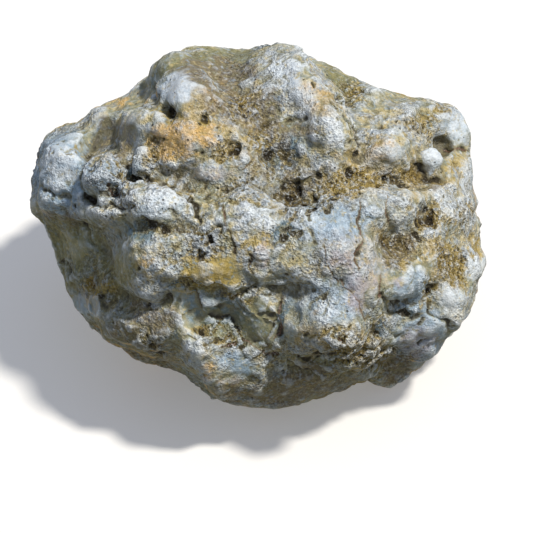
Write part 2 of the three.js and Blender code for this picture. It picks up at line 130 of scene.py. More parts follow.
# Rounded lumps. The amount is the rise.
lumps = [
    # upper mass
    [-20, 39.5, 9.5, 6.5, 10, 2], [-35.5, 31, 4, 4.5, 0.5], [-34, 38.5, 2.6, 2.4, 0.5], [-31, 29, 4, 3, 0.6],
    [-27, 27, 4, 3, 10, 1], [-18, 23, 5, 3.5, 1], [-14, 40, 3.5, 2.8, 0.8], [-2.5, 37.3, 2.4, 2, 0.8],
    [-5.5, 28, 1.6, 3, 0.7], [-13, 35.5, 4, 3, 20, 0.6], [-14, 15, 4.5, 3, -10, 0.9], [-8, 14, 3, 2.5, 0.6],
    [-23.3, 17.3, 0.9, 2.4, 10, 0.9], [-34.5, 14.5, 3, 3.5, 2.4], [-27.5, 31.5, 3.6, 3, 1.4],
    [-8.5, 21.5, 2.4, 2.2, 1],
    # pale ridge and the grey hollow under it
    [8, 44, 5, 4.5, -20, 1.2], [4, 41, 2.5, 3, 0.7], [12, 46, 2.8, 2, 0.6], [17, 38, 3.5, 3, -40, 0.5],
    [12, 35, 3.6, 3, 0.8], [19, 31.5, 4, 3.5, 0.7], [23, 28, 3.4, 4.6, 30, 0.6], [24, 25, 2.6, 2, 0.6],
    [7, 23, 3, 2.6, 0.7], [12, 21, 2.6, 2, 0.6], [4.5, 26.5, 2, 1.6, 0.5],
    # top right shoulder
    [29, 35.5, 2.2, 1.8, 0.8], [31.5, 39.5, 1.8, 1.3, 0.6], [27, 38.5, 1.6, 1.5, 0.6], [57, 28, 5.6, 6, 0.7],
    [44, 33, 3.6, 2.6, 1], [55.5, 18.5, 2.1, 2.1, 1], [37.5, 21, 6.5, 4.4, -25, 0.8], [44, 18, 2.5, 2.2, 1.3],
    [40, 28, 2.6, 2.2, 0.8], [36, 30, 2.2, 2, 0.6], [60, 16, 3, 4, 0.8],
    # left lobes and knobs
    [-54, 20, 5.5, 4.5, 30, 1.2], [-57, 12.5, 4, 4, 1.2], [-62, 7, 3.5, 3, 0.8], [-50.5, 16.5, 3, 3, 0.8],
    [-44, 30, 4.5, 3, 35, 0.8], [-57.5, 5.5, 2, 2.2, 0.6], [-44.5, 14.5, 5, 5.5, 20, 1.2],
    [-42, 18.5, 3, 2, 0.7], [-37.5, 13, 1.6, 2.8, 0.8], [-30.5, 17, 2.2, 4.6, 15, 0.6],
    [-36.5, 8.5, 3, 2.8, 1], [-43.5, 2.5, 4.5, 2.4, 5, 1.4], [-47.5, 3.5, 2, 1.6, 0.6], [-52, 3, 3, 1.8, 0.6],
    [-26, 6.3, 8.5, 6.2, -10, 1], [-18.5, 7.5, 2.2, 2, 0.8], [-20, 2.5, 3.5, 2.6, 0.6],
    # left recess and belly
    [-50, -6, 4.5, 4, 1], [-43.5, -22, 2.6, 2.4, 0.8], [-54, -15, 2.8, 2.4, 0.6], [-42, -16, 3, 2.6, 0.5],
    [-46, -11, 3.5, 3, 0.7], [-36.5, -6.5, 2.2, 2, 0.8], [-30, -12, 5, 6, 20, 0.8],
    [-28, -20.5, 6, 3, -10, 0.9], [-24, -15, 3.5, 3, 0.5],
    # lower mass
    [7, 5, 2.6, 2, 0.9], [14, 6, 2.2, 2, 20, 0.8], [20, 8.5, 2.4, 1.8, 20, 0.8], [1, 2, 7, 3.4, -35, 0.7],
    [-4, -2, 3, 3, 0.6], [4, -1.5, 3, 4, 0.6], [-18, -4.5, 3, 2, -20, 0.8], [-12, -12, 6.5, 3.4, -8, 0.6],
    [2, -9, 3, 3, 0.7], [7, -6, 2.5, 2, 0.5], [16, -1, 5, 4, 0.9], [24, 2, 4.5, 4, 0.9], [21, -8, 5, 5, 0.8],
    [29.5, -20, 5, 6.5, -20, 1], [33, -6.5, 2.5, 3, 0.8], [35, 4, 3.5, 3, 0.7], [42, 7.5, 3, 2.5, 0.7],
    [18, -27, 4, 6.5, 5, 0.6], [41, -16.5, 4.5, 4, 0.8], [62.5, -12, 3, 4, 1], [56, -22, 4.4, 7, 15, 0.6],
    [51, -26, 3.5, 3, 0.6], [46, -35, 5.5, 6, -30, 0.8], [50, -30, 3, 3, 0.6],
    # foot
    [-18, -34.5, 4, 4.4, 1.2], [-12, -41, 3, 4, 0.8], [-4, -40.5, 4.5, 4, 0.7], [-6, -45.5, 3.5, 2.2, 0.6],
    [1, -47.5, 3.5, 2.5, 0.6], [10, -46, 5, 3, 10, 0.9], [20, -45, 4, 2.5, 10, 0.7],
    [30, -43.5, 3, 1.8, 10, 0.8], [34.5, -36.5, 2.6, 1.8, 0.8], [25, -39, 3, 2, 10, 0.7],
    [-32, -33, 3.5, 2.6, -25, 0.9], [-32.5, -37, 3.2, 2.2, -20, 0.8], [-36.5, -28.5, 3, 2.4, 0.7],
    [-42, -27, 3, 2.4, -30, 0.5], [-26, -31, 2.5, 2.6, 0.5], [-48.5, -23, 3.8, 3.4, -40, 0.8],
]

# Soft hollows. The amount is the depth.
hollows = [
    [-29.2, 39, 1.6, 4.2, 1.4], [-24.5, 31.3, 5, 2.6, -18, 1.5], [-36, 26, 2.2, 3, 1],
    [-9, 43.5, 6, 3.5, -10, 1.2], [-14, 30.5, 2, 1.8, 1], [-8, 21, 4.6, 2.2, -8, 0.6], [3.5, 33, 3, 5.5, 1.2],
    [8, 28.5, 5, 2, -15, 1], [3, 20, 3, 4, 1], [54, 22.8, 3.4, 2.6, 35, 1.7], [52.3, 32.5, 2, 1.5, -30, 1],
    [48.5, 27.5, 2.4, 2, 1.1], [47, 31.5, 1.6, 1.4, 0.8], [47.5, 14.2, 3.8, 2.6, -20, 2.2],
    [51, 12.6, 3.4, 1.8, 10, 1.6], [-44.5, 25, 2.4, 5.5, -25, 0.6], [-35.5, 16, 2.4, 5, -15, 0.9],
    [-47, 6.3, 3, 1.8, -15, 0.6], [-55.8, 8, 2, 3, 1.2], [-24, 14.8, 4, 2.4, 10, 0.5],
    [-25, 2.5, 3, 1.2, -15, 1], [-26, -2.5, 6, 1.6, 10, 0.4], [-33, -2.5, 4, 3, 1.4], [-52, -2, 5, 3, 0.8],
    [-44, -8, 3, 6, 15, 1], [11.5, 9.5, 3.4, 5, 25, 1.2], [-12.5, -4.5, 3.5, 2, -15, 1],
    [8, -2.5, 1.6, 3.6, -25, 1], [36.5, 12.5, 1.5, 1.2, 1], [34, 13.7, 2, 1.8, 1],
    [27, 14.5, 11, 2.6, 8, 1.4], [50, 1.8, 2.8, 3.4, -30, 0.6], [41, 6.2, 1.8, 0.9, 1],
    [39.5, -4.5, 8, 4, -35, 1.3], [41, -23.3, 4.8, 2.2, -25, 0.4], [57, -12, 3.5, 5, 15, 0.8],
    [48.3, -19.6, 1.8, 1.2, 1], [10, -18.5, 6, 2.2, -8, 0.8], [10, -24, 2.4, 6, 1],
    [6, -28, 1.6, 6, -10, 0.5], [-8, -24.3, 4, 2.2, -15, 1.3], [-10, -27.2, 4, 1.6, 0.8],
    [-20.5, -17.2, 2.6, 1.8, 0.8], [-28, -36, 1.6, 2.6, 20, 1.6], [-42, -28.7, 1.6, 1.1, 0.8],
    [-35.5, -32, 1.3, 1.2, 0.8], [33.5, -39, 3.6, 1.6, 1.6], [35, -31, 2, 2.2, 1], [40, -41.5, 3.5, 3, 40, 1],
    [16, -37.6, 6, 1.6, 12, 1.2], [42, -32, 1.6, 1.6, 0.8], [51, -33, 1.3, 1.3, 0.6],
]

# Small pits with a crisp rim: [across, up, radius, depth].
pits = [
    [-53.2, 21.4, 0.7, 0.8], [-50.7, 21.5, 0.6, 0.7], [-57.5, 20, 0.8, 0.8], [-55, 25.3, 0.6, 0.6],
    [-13.4, 45.3, 0.5, 0.6], [-15, 49.3, 0.5, 0.6], [-5, 35.5, 1.3, 1.0],
    [-3, 32.3, 1.2, 0.9], [-0.5, 32, 1, 0.9], [-14, 30.5, 1.2, 1.2], [-12.5, 31.8, 0.8, 0.8],
    [-15.5, 29.5, 0.8, 0.8], [-10.5, 21.6, 1, 0.8], [-9, 21.4, 1.1, 0.5], [-5.5, 20.8, 1.2, 0.8],
    [-2, 24, 0.9, 0.9], [-1.5, 25.5, 0.7, 0.7], [2, 24, 0.8, 0.8], [2.5, 19, 0.9, 0.9],
    [15.8, 39.5, 0.8, 1.1], [6, 46.7, 0.6, 0.7], [17.5, 26.7, 0.7, 0.7], [18.7, 26.3, 0.6, 0.6],
    [27, 24, 0.8, 0.9], [28.5, 21, 0.8, 0.9], [28.8, 37.3, 1.3, 1.1], [30.5, 37, 0.7, 0.7],
    [37, 23.4, 0.5, 0.6], [38.2, 23, 0.5, 0.6], [61.2, 19.5, 0.8, 0.8], [58.5, 24.5, 0.5, 0.5],
    [-11.5, 10.5, 0.7, 1.1], [-10.3, 11, 0.6, 0.9], [-13, 8.5, 0.8, 0.9], [-8, 8.5, 0.7, 0.9],
    [-6, 10, 0.7, 0.8], [-3.5, 12, 0.8, 0.9], [-3.7, 10.3, 0.6, 0.8], [-4.5, 7, 0.7, 0.8],
    [-4.2, 5.8, 0.5, 0.6], [-3.5, 4.5, 0.5, 0.6], [-7.5, 6.5, 0.6, 0.8], [-17, 9, 0.8, 1.1],
    [-15, 1.8, 0.6, 0.8], [-14, 2.4, 0.6, 0.8], [-16, 1.2, 0.5, 0.7], [-6.5, -6.5, 0.7, 0.9],
    [-14, -5.5, 1, 1.2], [-11, -5, 0.9, 1.1], [-12.5, -3.5, 1, 1.2], [28, 15.5, 1.2, 1.0],
    [26.8, 12, 0.9, 0.9], [22, 9, 0.8, 1.0], [22, 12, 0.8, 1.0], [18, 13, 0.9, 1.0],
    [31, 13, 0.8, 0.8], [36.5, 12.5, 0.9, 1.2], [12, 10, 1.1, 0.6], [13.3, 5.3, 1.1, 1.2],
    [16.5, 7.5, 1.2, 1.2], [9.5, 7.5, 1, 1.0], [9.5, -2.5, 0.7, 0.7], [11, -3.3, 0.7, 0.8],
    [12.8, -4.2, 0.8, 0.8], [16, -3.5, 0.8, 0.9], [17, -5.3, 0.8, 0.8], [18.3, -2, 0.6, 0.6],
    [29.8, -7.3, 0.8, 1.0], [48, 0.5, 1.3, 0.8], [50.5, 1, 1.1, 1.2], [49.5, 3.2, 0.9, 1.0],
    [46, -2.5, 0.7, 0.8], [47, -4.5, 0.7, 0.7], [52.3, -3.2, 0.7, 0.7], [38.2, -4.8, 0.8, 0.8],
    [43.3, -10, 0.8, 0.8], [48, -20, 0.9, 1.2], [52, -19.5, 0.7, 0.8], [47, -27, 0.7, 0.8],
    [46.5, -28.3, 0.6, 0.7], [46.2, -29.7, 0.6, 0.7], [14.5, -32.7, 0.9, 1.0], [12.5, -33, 0.6, 0.7],
    [16.7, -18.5, 0.9, 0.9], [19, -19.5, 0.8, 0.9], [13, -38.2, 0.7, 0.8], [-48, -17.7, 1.4, 0.6],
    [-55, -11.5, 0.7, 0.8], [-53.5, -12, 0.8, 0.9], [-40.3, 2.5, 0.6, 0.8], [-43, 18.6, 0.6, 0.7],
    [-39.2, 12.5, 0.7, 0.8], [-36, 4.7, 1, 1.2], [-14.7, -41.5, 0.8, 1.0], [-34.3, -13.5, 0.6, 0.7],
]

# Cracks and creases: half width, depth, path.
creases = [
    [0.5, 0.9, [[-59, 20], [-57.5, 22], [-56, 23]]],
    [0.6, 0.8, [[-55, 22], [-52.5, 23], [-50, 23.5], [-48, 22.5]]],
    [1.0, 0.6, [[-43, 30], [-45, 26.5], [-46, 21], [-47, 19]]],
    [0.8, 1.3, [[22.5, 36.8], [24.5, 34.3], [25.4, 32], [26.5, 29], [28, 25.5]]],
    [1.3, 1.0, [[2.5, 19], [5, 15], [8, 12], [10.5, 8], [13.5, 5.5], [17, 6.8]]],
    [0.7, 1.0, [[13.5, 5.5], [15, 3.5], [14.6, 1.5]]], [0.6, 0.9, [[9.5, 7.5], [7.5, 4.5], [7.5, 2]]],
    [0.8, 1.0, [[20, 9], [21, 6.5], [20.5, 4.5]]],
    [1.0, 1.5, [[45.8, 18.5], [46, 15.5], [48.3, 13.4], [51.5, 13.3], [53, 15]]],
    [0.7, 0.9, [[4, 28], [8, 29.3], [12, 28.6], [14, 29.4]]],
    [0.4, 0.6, [[-4.5, 16.5], [-3, 18], [-2, 19.5]]],
    [0.5, 0.8, [[56, 22], [59, 22], [62, 21.3]]],
    [0.6, 1.0, [[-62, 11.5], [-60.5, 9.5], [-58.5, 8]]],
    [0.9, 0.9, [[-50.5, 15], [-51, 11.5], [-49, 8]]],
    [0.7, 1.4, [[-49.5, 8], [-47, 6.3], [-44.5, 5], [-42, 6], [-38, 5]]],
    [0.4, 0.7, [[-41, 11], [-40.3, 9], [-40.3, 7]]],
    [0.6, 1.0, [[-50, -1], [-48, -2.5], [-47, -5]]],
    [0.8, 1.4, [[-31, 12], [-26, 12.7], [-22, 11], [-19, 9.3], [-17, 6.5], [-16.5, 3], [-15.5, 0.5]]],
    [0.7, 1.1, [[-33, 1], [-31, -1], [-26, -2.6], [-22, -2.2]]],
    [0.35, 0.7, [[-8.3, 5], [-7.3, 0], [-7.2, -2], [-6.5, -4], [-6.5, -6.5]]],
    [0.35, 0.6, [[-2, -9], [-1, -12], [0, -14.5]]],
    [0.35, 0.6, [[29, 6], [29.5, 3], [29.7, 0], [30.8, -5], [29.8, -7.3], [29.5, -13]]],
    [0.35, 0.6, [[37.2, 9], [37.8, 5], [38, 2], [38.8, 0]]],
    [0.7, 1.2, [[48, -20], [49, -24], [51, -26], [53, -28], [55, -29.5], [57, -29]]],
    [0.6, 0.9, [[62.5, -4], [63, -10]]],
    [0.7, 0.6, [[-47, -19], [-46, -22], [-44, -24.3], [-42, -24], [-40.3, -23.3], [-39.5, -24.5],
                [-35, -24.5], [-31, -25], [-25, -25]]],
    [0.8, 1.6, [[-31, -31], [-29, -34], [-27.5, -37]]],
    [0.45, 0.5, [[7, -21], [6.2, -24], [6.4, -28], [5.8, -33]]],
    [0.6, 1.2, [[14, -39], [18, -38], [22, -36.5], [25, -36]]],
    [0.5, 0.9, [[-10, -35], [-8, -35.3], [-6, -35]]],
    [0.6, 1.1, [[36, -21], [39, -22.3], [42, -24], [45, -26]]],
    [0.5, 0.8, [[24, -32], [24.5, -34]]],
    [0.35, 0.5, [[-3, -34], [2, -36.5], [7, -38]]],
    [0.35, 0.5, [[19, -6], [20, -12], [24, -16]]],
    [0.35, 0.5, [[25, -15], [27, -20], [30, -26], [32, -29]]],
    [0.35, 0.5, [[35, -13], [35.5, -20], [34.5, -26]]],
]

# Steps: height, how far the high side falls away behind it, path. The high side is right of the path's way.
steps = [
    [0.9, 4, [[-27, 35.5], [-27.6, 38], [-27.2, 41], [-25.5, 43.5]]],
    [2.2, 5, [[13, 46.5], [15, 43.5], [17, 41], [19.5, 38], [22.5, 36.5], [24.5, 34.5], [25.3, 31],
            [27, 28], [28.3, 24.5]]],
    [0.8, 3, [[3, 4.5], [6, 4], [7.5, 2.8], [10, 4.2], [12, 2.6], [15, 4.6], [18, 5], [22, 7],
            [26, 9], [30, 10.5], [35, 10], [40, 11.5], [44, 12.5]]],
    [0.5, 3, [[20, -18.3], [15, -16.3], [10, -15.7], [6, -16]]],
    [0.9, 2, [[-5, -21], [-3, -23], [-1, -26], [1, -28.5]]],
    [0.9, 2, [[6, -30], [5.5, -28], [4, -24], [2, -20.5]]],
    [0.8, 2, [[3, -29.3], [1, -28.5], [-1, -27], [-4, -26]]],
    [0.7, 2, [[45, -24.5], [41, -21.5], [36, -20]]],
    [0.5, 2.5, [[-6, -10], [-10, -8.5], [-17, -7]]],
    [0.9, 2, [[2, -18.8], [-4, -19.5], [-10, -20]]],
    [1.0, 2.5, [[36, -34], [31, -33.5], [25, -35]]],
    [0.7, 2, [[-21, 29.5], [-24, 29], [-27, 29.7]]],
    [0.6, 3, [[-51, 0], [-57, 2.3], [-62, 2.5]]],
]

# Flat fractures: corners, how much the plane tips [across, up], how deep it lies, its stain. Their olive and
# slate stains are partly painted shade on facets turned from the sun.
fractures = [
    [[[-23, -20.5], [-17, -20], [-12.5, -21.5], [-13, -26], [-15, -29], [-19, -28.5], [-21.5, -25]],
     [0.12, 0.15], 0.2, "slateAndShade"],
    [[[-12, -22.5], [-5, -21.5], [-3.5, -24.5], [-7, -25.5], [-13, -24.5]], [0.15, 0.35], 0.6, "slateAndShade"],
    [[[-14, -25.5], [-7, -26], [-5, -28.5], [-11, -29.3], [-14.5, -28]], [0.05, 0.2], 0.3, "slateAndShade"],
    [[[-4.5, -20.5], [1.8, -20], [4, -24], [5.3, -28], [1, -28], [-2.5, -25.5]], [0.05, 0.2], 0.2, "oliveAndShade"],
    [[[-5, -28], [0.5, -29], [5.5, -30], [6, -34], [5, -37], [-1, -35.5], [-4, -33]],
     [0.05, 0.15], 0.2, "oliveAndShade"],
    [[[-52, -20.5], [-47, -19.5], [-45.8, -24], [-48.5, -27.5], [-51.5, -24.5]], [0, 0], 0, "slateAndShade"],
]

# Where the surface is smooth (calm) or crumbly (coarse). The amount is the strength.
finish = {
    "calm": [
        [-22.5, 40, 6, 5, 1], [57, 28, 5.5, 6, 0.9], [49.8, 18.4, 3, 2.8, 0.8], [54, 23, 4, 3, 30, 0.9],
        [-54, 19, 8, 7, 20, 0.8], [-18, -24.5, 6, 5, 1], [-8, -24.5, 6, 3, 0.9], [1, -25, 4, 5, 0.9],
        [1, -32, 5, 4, 0.8], [10, -25, 4, 7, 0.3], [-48.5, -23.5, 4, 4, 1], [56, -22, 4.6, 6.5, 10, 0.8],
        [62.5, -12, 3, 4, 0.8], [-50, -6, 5, 4, 0.9], [-45, 26, 4, 7, -30, 0.9], [-16, 47, 16, 4, 5, 0.4],
        [-34, 42, 6, 8, -40, 0.5], [-14, 14.5, 6, 3.5, 0.6], [25, -11, 5, 4, 0.4],
        [30, -21, 4.5, 6.5, -15, 0.5], [20, 1, 10, 5, 0.4], [41, -16, 4, 3.5, 0.7], [37, 21, 5, 4, -20, 0.6],
        [-36, 25, 4, 6, 0.8], [-40, -12, 3, 8, 20, 0.6], [-4, -40.5, 5, 4, 0.5], [60, 14, 3, 6, 0.6],
        [-12, -12, 7, 4.4, -8, 0.9], [-20, 25, 8, 4.5, 8, 0.8], [20, -4, 10, 7, 0.45],
        [14, 36, 11, 5, -50, 0.5], [50, -31, 8, 8, -30, 0.5], [35, -12, 4, 5, 0.5],
    ],
    "broken": [
        [-10, -25, 16, 9, -10, 1], [0, -30, 7, 7, 0.9], [28, -37, 10, 6, 10, 0.9], [-14, -5, 8, 5, -10, 0.8],
        [-33, -31, 13, 6, -35, 0.2], [-40, 13, 8, 6, 0.4], [20, 12, 14, 4, 15, 0.6],
        [40, -24, 6, 4, -20, 0.8], [-42, -17, 7, 6, 0.2], [-4, -18, 12, 3, 0.9], [54, -8, 6, 9, 15, 0.6],
        [10, -40, 16, 5, 0.5], [-28, 10, 10, 4, 10, 0.4], [44, -36, 8, 6, -30, 0.4], [30, 36, 6, 4, 0.4],
    ],
    "coarse": [
        [24, 11.5, 8, 4, 10, 1], [12, 7, 6, 4, 20, 0.9], [57, -12, 5, 7, 20, 1], [29, -38, 9, 6, 1],
        [-8, 21, 5, 3, 0.8], [-14, -5, 7, 4, -10, 1], [-4, -20, 7, 1.6, 1], [-10, -33, 6, 3, 0.9],
        [-13, -29, 4, 2, 0.9], [50, 1.5, 4, 5, 0.8], [40, -6, 5, 5, 0.6], [-5, 8, 8, 4, 10, 0.7],
        [-40, 12, 3, 6, 0.6], [28, 37, 5, 3, 0.6], [48, 30, 4, 4, 0.6], [33, -29, 4, 3, 0.6],
        [-2, 33, 5, 4, 0.7], [7, 19, 7, 6, 20, 0.5], [14, 4, 9, 2.5, 15, 0.9], [-31, 17, 4, 5, 0.9],
        [-44, 14, 6, 6, 0.5], [46, -5, 5, 5, 0.6], [20, -14, 8, 3, 0.3], [-24, -7, 5, 4, 0.5],
        [2, 24, 3, 6, 0.7], [38, 13.5, 7, 2.6, 0.9], [-29, -1, 7, 2, 0.5], [60, 3, 3, 6, 0.6],
        [22, -33, 5, 3, 0.7], [-17, 11, 6, 3, 0.6], [-38, 6, 4, 3, 0.5], [56, 34, 5, 2, 0.4],
        [8, -36, 8, 3, 0.6], [-30, -34, 8, 4, -30, 0.4], [-44, -20, 5, 3, -30, 0.2], [10, -4, 4, 3, 0.6],
        [-18, -17, 5, 3, 0.5], [-42, -17, 6, 5, 0.2], [50, -18, 3, 4, 0.9],
    ],
}
